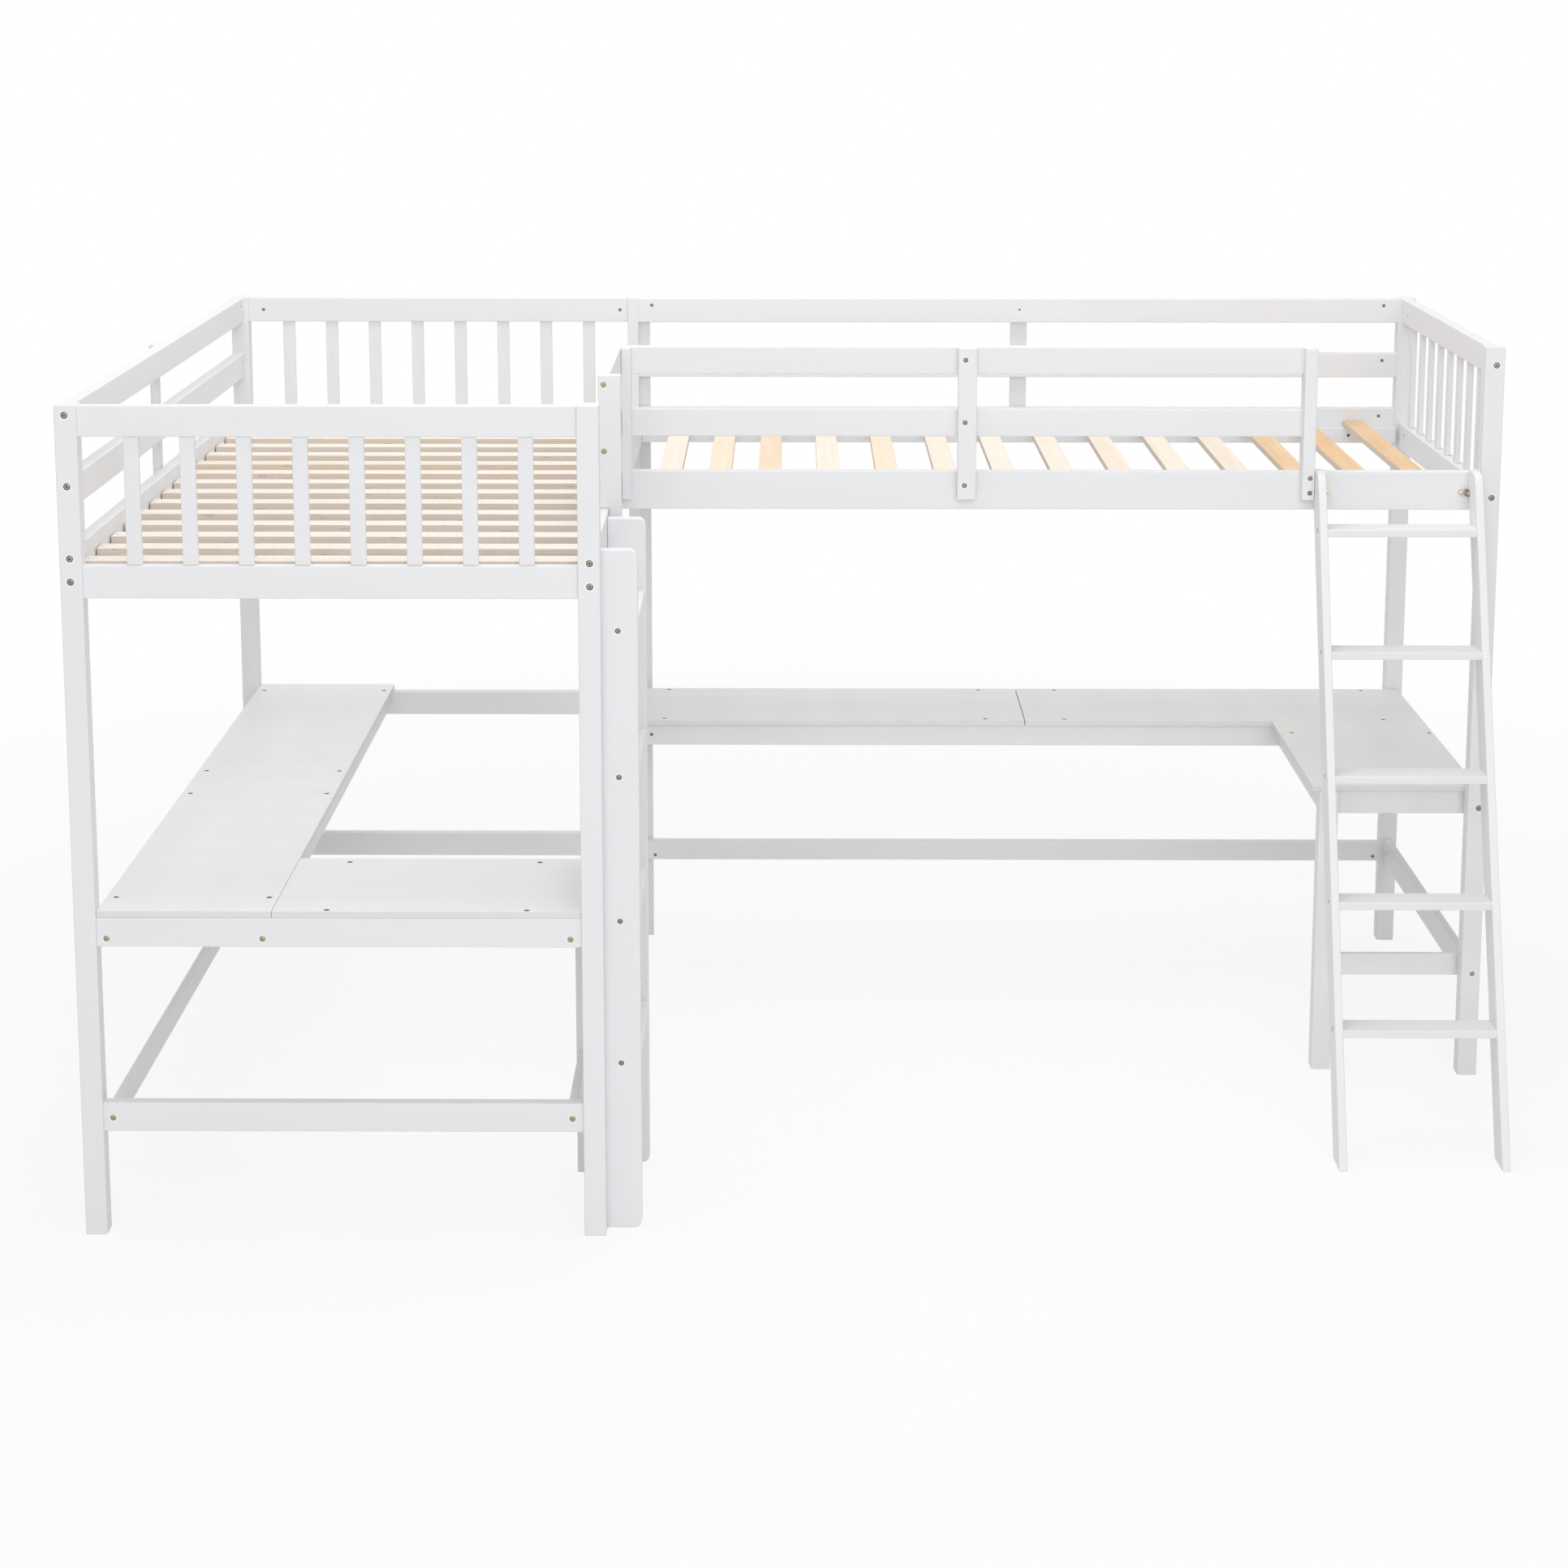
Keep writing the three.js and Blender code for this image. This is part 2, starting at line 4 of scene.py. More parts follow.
import bmesh
import bpy
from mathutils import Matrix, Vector

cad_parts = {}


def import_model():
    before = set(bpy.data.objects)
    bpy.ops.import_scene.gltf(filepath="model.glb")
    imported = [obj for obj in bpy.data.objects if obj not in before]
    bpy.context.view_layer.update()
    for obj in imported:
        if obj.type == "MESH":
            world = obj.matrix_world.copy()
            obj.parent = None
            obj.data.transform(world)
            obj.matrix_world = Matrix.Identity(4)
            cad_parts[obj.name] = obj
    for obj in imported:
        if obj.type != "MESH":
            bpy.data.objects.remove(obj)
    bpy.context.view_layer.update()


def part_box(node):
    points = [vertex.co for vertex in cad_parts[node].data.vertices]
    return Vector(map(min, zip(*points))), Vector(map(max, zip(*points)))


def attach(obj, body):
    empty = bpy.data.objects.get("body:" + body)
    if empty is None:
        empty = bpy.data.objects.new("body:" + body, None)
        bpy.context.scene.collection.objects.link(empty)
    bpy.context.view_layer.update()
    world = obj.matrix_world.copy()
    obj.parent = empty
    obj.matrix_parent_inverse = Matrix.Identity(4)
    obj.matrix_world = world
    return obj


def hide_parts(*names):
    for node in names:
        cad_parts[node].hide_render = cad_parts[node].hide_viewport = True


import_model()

SEED = 7
rng = random.Random(SEED)

# Sizes are in millimetres and become metres through MM, as the frame is in metres.
MM = 0.001

# Rounded edges
WOOD_EDGE = 2.4 * MM
SLIM_EDGE = 1.8 * MM
DESK_EDGE = 0.9 * MM
SLAT_EDGE = 1.3 * MM
EDGE_SEGMENTS = 3
EDGE_FROM_ANGLE = math.radians(40)
SMOOTH_BELOW = math.radians(34)
ARC_STEPS = 10
QUARTER_TURN = 90

# Boards inside the joined nodes
GUARD_HEIGHT = 62 * MM
GUARD_GAP = 80 * MM
GUARD_THICK = 28.5 * MM
GUARD_PROUD = 1.5 * MM
SUPPORT_WIDTH = 42 * MM
ENTRY_POST_THICK = 27 * MM
ENTRY_RAIL_THICK = 23.5 * MM
LEFT_SHORT_POST = 21.5 * MM
RIGHT_SHORT_POST = 28 * MM
SEAT_GAP = 0.3 * MM
END_LAP = 1.6 * MM
CORNER_REBATE_WIDTH = 28 * MM
CORNER_REBATE_DEPTH = 28.8 * MM
PANEL_BOTTOM_HEIGHT = 66 * MM
PANEL_SLAT_WIDTH = 30.5 * MM
PANEL_SLAT_THICK = 11 * MM
PANEL_SLAT_PITCH = 111 * MM
PANEL_SLAT_COUNT = 8

# Mattress slats and the battens under them
BATTEN_WIDTH = 20 * MM
BATTEN_HEIGHT = 40 * MM
BATTEN_SCREWS = 6
BATTEN_SCREW_INSET = 122 * MM
SLAT_WIDTH = 52.5 * MM
SLAT_INSET = 2.7 * MM
SLAT_COUNT_A = 15
SLAT_FIRST_B = 78.2 * MM
SLAT_CLOSE_PITCH_B = 116 * MM
SLAT_CLOSE_COUNT_B = 2
SLAT_LAST_GAP_B = 82.2 * MM
SLAT_COUNT_B = 14

# Ladders
LADDER_A_TREADS = 4
LADDER_A_RADIUS = 16 * MM
LADDER_B_TREADS = 5
LADDER_B_RADIUS = 28 * MM
LADDER_B_PLUMB = 35 * MM
LADDER_B_FOOT = 80 * MM
BRACKET_WIDTH = 16.5 * MM
BRACKET_LEG = 22.5 * MM
BRACKET_THICK = 2.0 * MM
BRACKET_DROP = 4 * MM
BRACKET_STEPS = 44
# From this step along the strip, the bracket takes the darker bronze, which is painted shade near the bend
# and on the side leg
BRACKET_SHADE_STEP = 14
BRACKET_EDGE = 0.3 * MM
BRACKET_EDGE_SEGMENTS = 2

# Where the fasteners sit
BOLT_RISE = 13 * MM
SIDE_BOLT_SPREAD = 23.5 * MM
FRONT_RIGHT_DROP = 8 * MM
PANEL_B_DROP = 4 * MM
PANEL_B_RISE = 10 * MM
POST_B_DROP = 9 * MM
STRETCHER_NUT_DROP = 13.5 * MM
SUPPORT_NUT_DROP = 11 * MM
SLIM_BOLT_DROPS = {"desk_rail_a_front": 13.3 * MM, "stretcher_a_front": 2 * MM}
LEFT_POST_SHIFT = 2.5 * MM
RIGHT_POST_SHIFT = 1.5 * MM
POST_B_SHIFT = 3.5 * MM
LIP_BOLT_INSET = 17.5 * MM
ENTRY_BOLT_RISE = 11 * MM
MIDDLE_BOLT_RISES = (4 * MM, 4 * MM, 15 * MM)
MIDDLE_BOLT_OFFSET = 5 * MM
LIP_BOLTS = (1421.4 * MM, 1387.6 * MM)

# How far in from a rail's low and high ends its barrel nuts sit
EVEN_NUTS = (34 * MM, 34 * MM)
SIDE_BACK_NUTS = (34 * MM, 42 * MM)
GUARD_BACK_NUTS = (34 * MM, 38 * MM)
STRETCHER_BACK_NUTS = (34 * MM, 17.5 * MM)
PANEL_BACK_NUTS = (38 * MM, 20 * MM)
PANEL_RIGHT_NUTS = (34 * MM, 76 * MM)

# Each desk board, the insets of its screws from its low (above zero) or high (below zero) edges along
# x and along y, and the axis of its length
DESK_SCREWS = (
    ("desk_board_a_side_front", (20 * MM, -19 * MM), (96 * MM, -98 * MM), "y"),
    ("desk_board_a_side_back", (20 * MM, -19 * MM), (104 * MM, -73 * MM), "y"),
    ("desk_board_a_front", (110 * MM, -111 * MM), (11 * MM, -26 * MM), "x"),
    ("desk_board_b_back_left", (94 * MM, -97 * MM), (19 * MM, -14 * MM), "x"),
    ("desk_board_b_back_right", (100 * MM, -98 * MM), (19 * MM, -14 * MM), "x"),
    ("desk_board_b_end", (31 * MM, -10 * MM), (-118 * MM,), "y"),
)

# How honey-coloured each slat is, from 0 to 1, and how yellow its pale wood is
TONES_A = (0.0, 0.03, 0.0, 0.03, 0.0, 0.06, 0.02, 0.0, 0.05, 0.1, 0.03, 0.02, 0.09, 0.04, 0.05)
TINTS_A = (0.1, 0.2, 0.05, 0.2, 0.0, 0.25, 0.1, 0.15, 0.3, 0.7, 0.1, 0.15, 0.35, 0.2, 0.25)
TONES_B = (0.04, 0.25, 0.45, 0.04, 0.22, 0.08, 0.02, 0.05, 0.14, 0.08, 0.14, 0.86, 1.0, 0.92)
TINTS_B = (0.2, 0.5, 0.6, 0.2, 0.6, 0.3, 0.1, 0.2, 0.3, 0.3, 0.1, 0.8, 0.4, 0.6)

# Colours
PAINT = (0.80, 0.802, 0.815)
# The desk boards take lit and shaded copies of one white paint: bed B's greyer copy is painted shade from
# the bed above it
BOARD_PAINT_LIT_A = (0.885, 0.905, 0.90)
BOARD_PAINT_SHADED_B = (0.76, 0.775, 0.77)
# Darker colour for the desk boards' upright sides, which is painted shade
BOARD_SIDE_SHADE = (0.725, 0.725, 0.735)
# Lighter paint in the bores and on their rims, which is a painted highlight
RIM_HIGHLIGHT_PAINT = (0.97, 0.97, 0.965)
PINK_PINE = ((0.84, 0.755, 0.665), (0.90, 0.83, 0.75))
YELLOW_PINE = ((0.85, 0.745, 0.57), (0.90, 0.81, 0.66))
HONEY_PINE = ((0.74, 0.485, 0.26), (0.83, 0.59, 0.345))
FIGURE_DARK = (0.86, 0.73, 0.58)
LAYER_DARK = (0.72, 0.675, 0.67)
LAYER_PALE = (0.84, 0.80, 0.80)
STREAK_DARK = (0.20, 0.17, 0.15)
KNOT_DARK = (0.24, 0.15, 0.09)
# Each fastener metal has a darker and a paler copy. The darker copy is painted shade on bolt flanges and in
# sockets, and the plain colour of pins and screws. The paler copy is a painted highlight on heads, and the
# paler bronze is also painted shade at the bracket's bend
BRONZE = ((0.10, 0.08, 0.07), (0.17, 0.135, 0.12))
BRONZE_HIGHLIGHT_AND_SHADE = ((0.30, 0.25, 0.22), (0.44, 0.37, 0.33))
ZINC = ((0.16, 0.145, 0.08), (0.27, 0.25, 0.14))
ZINC_HIGHLIGHT = ((0.42, 0.39, 0.22), (0.60, 0.56, 0.34))
STEEL = ((0.62, 0.59, 0.52), (0.86, 0.83, 0.76))
CHAMPAGNE = ((0.60, 0.47, 0.37), (0.72, 0.60, 0.48))
FLOOR_COLOUR = (0.86, 0.86, 0.86)
SKY_COLOUR = (0.985, 0.99, 1.0)
WHITE = (1.0, 1.0, 1.0)
BLACK = (0.0, 0.0, 0.0)

# Noise over a board: how many features a metre holds along, across and up it; then the turns of a
# slat's layers, and how far a board's pattern may be shifted
PAINT_CLOUD = (2.5, 14, 14)
PAINT_GRAIN = (7, 420, 420)
PAINT_PORES = (60, 900, 900)
PAINT_SHEEN = (9, 60, 60)
PINE_STREAKS = (1.7, 55, 16)
PINE_FLAME = (14, 9, 5)
PINE_PATCHES = (7, 22, 10)
PINE_FIBRE = (9, 520, 520)
PINE_SHEEN = (4, 90, 60)
PINE_KNOTS = (9, 20, 14)
PINE_SPLITS = (20, 6, 160)
LAYER_TURNS = 2 * math.pi / (3.6 * MM)
GRAIN_SHIFT = 50

# How much finer noise each of those holds, and how uneven it is; noise over metal, with its scale
PAINT_GRAIN_NOISE = {"detail": 4.0, "roughness": 0.62, "distortion": 0.3}
PORE_DETAIL = 2.0
PINE_STREAK_NOISE = {"detail": 5.0, "roughness": 0.6, "distortion": 0.6}
PINE_FIBRE_NOISE = {"detail": 4.0, "roughness": 0.65, "distortion": 0.4}
SPLIT_DETAIL = 1.0
PINE_FLAME_WAVE = {"Distortion": 4.0, "Detail": 3.0, "Detail Scale": 1.3}
METAL_CLOUD = {"Scale": 260, "Detail": 4.0}
METAL_SCRATCH = {"Scale": 2600, "Detail": 2.0}

# Where along a noise its two colours are reached, and what part of it shows
RAMP = (0.3, 0.7)
FLAME_LINES = (0.0, 0.5)
FLAME_PATCHES = (0.42, 0.62)
KNOT_CORE = 0.03
KNOT_REACH = 0.075
KNOT_SHARE = 0.9
SEAM_BELOW = 0.12
SPLIT_FROM = 0.71
PORE_SHARE = 0.35

# How strong the figure and knots of a slat are: gain of a honey-coloured one, and strength of a pale one
FLAME_STRENGTH = (0.6, 0.2)
KNOT_STRENGTH = (0.55, 0.08)

# Surfaces: the paint's darkest and lightest shade, each relief's depth and strength, how much each
# roughness varies and its least value, and the sheen
PAINT_SHADES = (0.985, 1.01)
PAINT_RELIEF = 0.4 * MM
WOOD_GRAIN = 0.1
BOARD_GRAIN = 0.07
RIM_GRAIN = 0.05
PAINT_ROUGHNESS = (0.14, 0.38)
PAINT_SHEEN_LEVEL = 0.4
PINE_RELIEF = (0.6 * MM, 0.3)
PINE_ROUGHNESS = (0.2, 0.52)
PINE_SHEEN_LEVEL = 0.35
METAL_RELIEF = (0.1 * MM, 0.3)
METAL_UNEVENNESS = 0.2
METAL_SHEEN_LEVEL = 0.5
DULL_METAL = 0.3
SATIN_METAL = 0.28
PAINTED_LIGHT_METAL = 0.26
BRIGHT_METAL = 0.22
FLOOR_ROUGHNESS = 0.9
FLOOR_SHEEN_LEVEL = 0.1

# Stage
FLOOR_RADIUS = 14.0
FLOOR_SIDES = 96
FLOOR_WHITE = 0.84
FLOOR_FADE = (2.2, 5.0)
SKY_STRENGTH = 0.55
TOP_LIGHT = ((-0.2, 0.1, 5.0), (-0.1, 0.1, 0.0), (4.5, 3.5), 108)
FRONT_LIGHT = ((0.8, -9.2, 4.1), (0.2, 0.0, 0.6), (7.0, 4.5), 302)
LENS = 71.758
SENSOR = 36.0
SHIFT = (0.01083, -0.175)
EYE = (-0.0794, -7.0597, 2.5821)
EYE_PITCH = math.radians(10.018)
EYE_TURN = math.radians(0.412)


# Nodes of materials and of the world. A mix node's colours have numbered sockets

MIX_FIRST, MIX_SECOND, MIX_RESULT = 6, 7, 2


def add(tree, kind, inputs=None, **settings):
    """A shader node of a kind, with settings, and its inputs set to values or linked to sockets."""
    node = tree.nodes.new("ShaderNode" + kind)
    for key, value in settings.items():
        setattr(node, key, value)
    for key, value in (inputs or {}).items():
        plug(tree, node.inputs[key], value)
    return node


def plug(tree, socket, value):
    """Links a socket to another socket, or sets it to a value."""
    if isinstance(value, bpy.types.NodeSocket):
        tree.links.new(value, socket)
    elif hasattr(socket.default_value, "__len__") and len(socket.default_value) > len(value):
        socket.default_value = (*value, 1.0)
    else:
        socket.default_value = value


def grain_place(tree, scale):
    """A point's place in the board's own coordinates (along, across, up), scaled."""
    grain = add(tree, "Attribute", attribute_name="grain").outputs["Vector"]
    return add(tree, "Mapping", {"Vector": grain, "Scale": scale}).outputs["Vector"]


def noise(tree, scale, detail=3.0, roughness=0.5, distortion=0.0):
    """Noise over the board's own coordinates, stretched by an uneven scale."""
    inputs = {"Detail": detail, "Roughness": roughness, "Distortion": distortion}
    inputs.update({"Vector": grain_place(tree, scale), "Scale": 1.0})
    return add(tree, "TexNoise", inputs).outputs["Fac"]


def ramp(tree, factor, low, high, places=RAMP):
    """Blends from one colour to another as a factor goes from one place to another."""
    node = add(tree, "ValToRGB", {"Fac": factor})
    for element, place, colour in zip(node.color_ramp.elements, places, (low, high)):
        element.position = place
        element.color = (*colour, 1.0)
    return node.outputs["Color"]


def mix(tree, factor, first, second, blend="MIX"):
    """Goes from a first colour to a second one as a factor goes from 0 to 1."""
    node = add(tree, "Mix", data_type="RGBA", blend_type=blend)
    plug(tree, node.inputs["Factor"], factor)
    plug(tree, node.inputs[MIX_FIRST], first)
    plug(tree, node.inputs[MIX_SECOND], second)
    return node.outputs[MIX_RESULT]


def maths(tree, operation, *values):
    node = add(tree, "Math", operation=operation)
    for socket, value in zip(node.inputs, values):
        plug(tree, socket, value)
    return node.outputs[0]


def split(tree, vector, axis):
    return add(tree, "SeparateXYZ", {"Vector": vector}).outputs[axis]


def upward(tree):
    """Is 1 on level faces and 0 on upright ones."""
    normal = add(tree, "NewGeometry").outputs["Normal"]
    return maths(tree, "ABSOLUTE", split(tree, normal, "Z"))


def roughen(tree, shader, cloud, spread, least):
    """Gives a shader a roughness that rises by a spread from its least value."""
    plug(tree, shader.inputs["Roughness"], maths(tree, "MULTIPLY_ADD", cloud, spread, least))


def relief(tree, shader, height, distance, strength):
    """Gives a shader a fine relief."""
    inputs = {"Height": height, "Distance": distance, "Strength": strength}
    plug(tree, shader.inputs["Normal"], add(tree, "Bump", inputs).outputs["Normal"])


def seen_directly(tree):
    """Is 1 for rays from the camera, off gloss and through glass, and 0 for the light on the object."""
    rays = add(tree, "LightPath").outputs
    seen = maths(tree, "MAXIMUM", rays["Is Camera Ray"], rays["Is Glossy Ray"])
    return maths(tree, "MAXIMUM", seen, rays["Is Transmission Ray"])


# Materials


def node_material(name, sheen):
    """A new material, its nodes, its principled shader with a level of sheen, and its output."""
    material = bpy.data.materials.new(name)
    material.use_nodes = True
    tree = material.node_tree
    tree.nodes.clear()
    shader = add(tree, "BsdfPrincipled")
    shader.inputs["Specular IOR Level"].default_value = sheen
    output = add(tree, "OutputMaterial", {"Surface": shader.outputs["BSDF"]})
    return material, tree, shader, output


def paint_material(name, colour, grain_strength, side_colour=None):
    """White satin paint on planed pine, with faint grain and uneven sheen, and painted shade on its sides if
    told.
    """
    material, tree, shader, _ = node_material(name, PAINT_SHEEN_LEVEL)
    shades = [tuple(c * share for c in colour) for share in PAINT_SHADES]
    base = ramp(tree, noise(tree, PAINT_CLOUD), *shades)
    # Upright faces take the side colour, which is painted shade
    if side_colour:
        base = mix(tree, upward(tree), side_colour, base)
    plug(tree, shader.inputs["Base Color"], base)
    fine = noise(tree, PAINT_GRAIN, **PAINT_GRAIN_NOISE)
    pores = noise(tree, PAINT_PORES, detail=PORE_DETAIL)
    height = maths(tree, "MULTIPLY_ADD", pores, PORE_SHARE, fine)
    relief(tree, shader, height, PAINT_RELIEF, grain_strength)
    roughen(tree, shader, noise(tree, PAINT_SHEEN), *PAINT_ROUGHNESS)
    return material


def flame_figure(tree, base, tone):
    """Curved figure lines across the grain, in patches, strongest on honey-coloured wood."""
    inputs = {"Vector": grain_place(tree, PINE_FLAME), "Scale": 1.0, **PINE_FLAME_WAVE}
    wave = add(tree, "TexWave", inputs, wave_type="BANDS", bands_direction="X")
    lines = ramp(tree, wave.outputs["Fac"], FIGURE_DARK, WHITE, FLAME_LINES)
    patches = ramp(tree, noise(tree, PINE_PATCHES), BLACK, WHITE, FLAME_PATCHES)
    strength = maths(tree, "MULTIPLY", maths(tree, "MULTIPLY_ADD", tone, *FLAME_STRENGTH), patches)
    return mix(tree, strength, base, lines, "MULTIPLY")


def pin_knots(tree, base, tone):
    """A few small soft-edged knots, clearest on honey-coloured wood."""
    cells = add(tree, "TexVoronoi", {"Vector": grain_place(tree, PINE_KNOTS), "Scale": 1.0})
    inputs = {"Value": cells.outputs["Distance"], "From Min": KNOT_REACH, "From Max": KNOT_CORE}
    near = add(tree, "MapRange", inputs).outputs["Result"]
    red = add(tree, "SeparateColor", {"Color": cells.outputs["Color"]}).outputs["Red"]
    knot = maths(tree, "MULTIPLY", near, maths(tree, "GREATER_THAN", red, KNOT_SHARE))
    strength = maths(tree, "MULTIPLY_ADD", tone, *KNOT_STRENGTH)
    return mix(tree, maths(tree, "MULTIPLY", knot, strength), base, KNOT_DARK)


def layered_edge(tree, pale):
    """Thin layers along a slat's sides, with a short dark split here and there."""
    turns = maths(tree, "MULTIPLY", split(tree, grain_place(tree, (1, 1, 1)), "Z"), LAYER_TURNS)
    wave = maths(tree, "MULTIPLY_ADD", maths(tree, "SINE", turns), 0.5, 0.5)
    layers = mix(tree, 1.0, pale, ramp(tree, wave, LAYER_DARK, LAYER_PALE), "MULTIPLY")
    seam = maths(tree, "LESS_THAN", wave, SEAM_BELOW)
    patch = maths(tree, "GREATER_THAN", noise(tree, PINE_SPLITS, detail=SPLIT_DETAIL), SPLIT_FROM)
    return mix(tree, maths(tree, "MULTIPLY", seam, patch), layers, STREAK_DARK)


def pine_material(name):
    """Bare slat wood, pale or honey-coloured, with streaks, flame figure, pin knots and layered sides."""
    material, tree, shader, _ = node_material(name, PINE_SHEEN_LEVEL)
    tone = add(tree, "Attribute", attribute_name="tone").outputs["Fac"]
    tint = add(tree, "Attribute", attribute_name="tint").outputs["Fac"]
    streaks = noise(tree, PINE_STREAKS, **PINE_STREAK_NOISE)
    pale = mix(tree, tint, ramp(tree, streaks, *PINK_PINE), ramp(tree, streaks, *YELLOW_PINE))
    top = mix(tree, tone, pale, ramp(tree, streaks, *HONEY_PINE))
    top = pin_knots(tree, flame_figure(tree, top, tone), tone)
    plug(tree, shader.inputs["Base Color"], mix(tree, upward(tree), layered_edge(tree, pale), top))
    fibre = noise(tree, PINE_FIBRE, **PINE_FIBRE_NOISE)
    relief(tree, shader, fibre, *PINE_RELIEF)
    roughen(tree, shader, noise(tree, PINE_SHEEN), *PINE_ROUGHNESS)
    return material


def metal_material(name, colours, roughness):
    """Plated steel with slightly cloudy colour and fine scratches."""
    material, tree, shader, _ = node_material(name, METAL_SHEEN_LEVEL)
    place = add(tree, "TexCoord").outputs["Object"]
    cloud = add(tree, "TexNoise", {"Vector": place, **METAL_CLOUD}).outputs["Fac"]
    plug(tree, shader.inputs["Base Color"], ramp(tree, cloud, *colours))
    roughen(tree, shader, cloud, METAL_UNEVENNESS, roughness)
    scratch = add(tree, "TexNoise", {"Vector": place, **METAL_SCRATCH}).outputs["Fac"]
    relief(tree, shader, scratch, *METAL_RELIEF)
    shader.inputs["Metallic"].default_value = 1.0
    return material


white_paint = paint_material("white_satin_paint", PAINT, WOOD_GRAIN)
lit_board_paint_a = paint_material("white_board_paint_lit_a", BOARD_PAINT_LIT_A, BOARD_GRAIN, BOARD_SIDE_SHADE)
shaded_board_paint_b = paint_material("white_board_paint_shaded_b", BOARD_PAINT_SHADED_B, BOARD_GRAIN, BOARD_SIDE_SHADE)
rim_highlight_paint = paint_material("white_rim_highlight_paint", RIM_HIGHLIGHT_PAINT, RIM_GRAIN)
bare_pine = pine_material("bare_pine")
bronze = metal_material("bronzed_steel", BRONZE, DULL_METAL)
# The paler bronze and zinc are painted highlights on bolt heads, and the paler bronze is also painted shade
# on the bracket
highlight_and_shade_bronze = metal_material("bronze_painted_highlight_and_shade", BRONZE_HIGHLIGHT_AND_SHADE, PAINTED_LIGHT_METAL)
zinc = metal_material("yellow_zinc", ZINC, DULL_METAL)
highlight_zinc = metal_material("zinc_painted_highlight", ZINC_HIGHLIGHT, PAINTED_LIGHT_METAL)
steel = metal_material("bright_steel", STEEL, BRIGHT_METAL)
champagne = metal_material("champagne_steel", CHAMPAGNE, SATIN_METAL)


# Meshes

AXES = {"x": 0, "y": 1, "z": 2}
OUTLINE_AXES = {"x": (1, 2), "y": (0, 2), "z": (0, 1)}
ACROSS = {"x": "y", "y": "x"}


def point_at(along, value, first, second):
    """A point from its place along an axis and its place in the outline's two axes."""
    point = Vector((0, 0, 0))
    point[AXES[along]] = value
    point[OUTLINE_AXES[along][0]] = first
    point[OUTLINE_AXES[along][1]] = second
    return point


def object_from(bm, name):
    mesh = bpy.data.meshes.new(name)
    bmesh.ops.recalc_face_normals(bm, faces=bm.faces)
    bm.to_mesh(mesh)
    bm.free()
    piece = bpy.data.objects.new(name, mesh)
    bpy.context.scene.collection.objects.link(piece)
    return piece


def join_rings(bm, rings, indices):
    """Faces between rings of points and over both ends; indices give each band's material."""
    count = len(rings[0])
    for lower, upper, index in zip(rings, rings[1:], indices):
        for i in range(count):
            j = (i + 1) % count
            bm.faces.new((lower[i], lower[j], upper[j], upper[i])).material_index = index
    bm.faces.new(rings[0]).material_index = indices[0]
    bm.faces.new(rings[-1]).material_index = indices[-1]


def prism(name, outline, along, span):
    """A closed solid: an outline pushed out along an axis over a span."""
    bm = bmesh.new()
    ends = [[bm.verts.new(point_at(along, place, u, v)) for u, v in outline] for place in span]
    join_rings(bm, ends, [0])
    return object_from(bm, name)


def arc(centre, radius, start, end):
    """Points of a circular arc between two angles in degrees."""
    angles = [math.radians(start + (end - start) * i / ARC_STEPS) for i in range(ARC_STEPS + 1)]
    return [(centre[0] + radius * math.cos(a), centre[1] + radius * math.sin(a)) for a in angles]


def curve(start, pull, end):
    """Points of a quadratic curve that leaves its start, and reaches its end, towards a pulling point."""
    points = []
    for i in range(ARC_STEPS + 1):
        t = i / ARC_STEPS
        shares = ((1 - t) ** 2, 2 * t * (1 - t), t * t)
        points.append(tuple(sum(s * p for s, p in zip(shares, pair)) for pair in zip(start, pull, end)))
    return points


def apply_modifiers(piece):
    """Replaces a piece's mesh by the result of its modifiers."""
    graph = bpy.context.evaluated_depsgraph_get()
    mesh = bpy.data.meshes.new_from_object(piece.evaluated_get(graph))
    piece.modifiers.clear()
    piece.data = mesh


def round_edges(piece, width, segments):
    bevel = piece.modifiers.new("edges", "BEVEL")
    bevel.width = width
    bevel.segments = segments
    bevel.limit_method = "ANGLE"
    bevel.angle_limit = EDGE_FROM_ANGLE
    apply_modifiers(piece)


def smooth(piece):
    """Smooth shading that keeps hard edges and keeps wide faces flat."""
    piece.data.shade_smooth()
    piece.data.set_sharp_from_angle(angle=SMOOTH_BELOW)
    modifier = piece.modifiers.new("weights", "WEIGHTED_NORMAL")
    modifier.keep_sharp = True
    apply_modifiers(piece)


def settle(piece, nodes):
    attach(piece, "root")
    if nodes:
        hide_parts(*nodes)


# Fasteners, each sunk in a round bore on one face of the piece that it joins

HEAD_SIDES = 36
TINY = 1e-9
BORE_CLEAR = 1.0 * MM
RIM_DEPTH = 0.3 * MM

# Bolt heads: depths of the flange's foot and side, its corner (inwards and down), the dish and the
# raised middle as shares of the radius, and the socket
FLANGE_FOOT = 1.8 * MM
FLANGE_SIDE = 0.9 * MM
FLANGE_CORNER = (0.5 * MM, 0.55 * MM)
DISH_SHARE = 0.74
DISH_DEPTH = 0.4 * MM
RAISED_SHARE = 0.66
SOCKET_TAPER = 0.9
SOCKET_DEPTH = 1.3 * MM

# Flat heads: how thick they are, and their bevelled corner
FLAT_HEAD_THICK = 1.2 * MM
FLAT_HEAD_CORNER = 0.3 * MM

# A face's direction, and the two directions that span it
X, Y, Z = Vector((1, 0, 0)), Vector((0, 1, 0)), Vector((0, 0, 1))
FACES = {
    "left": (-X, Y, Z),
    "right": (X, Y, Z),
    "front": (-Y, X, Z),
    "back": (Y, X, Z),
    "top": (Z, X, Y),
}


def circle(radius):
    """The reach of a circle at an angle."""
    return lambda angle: radius


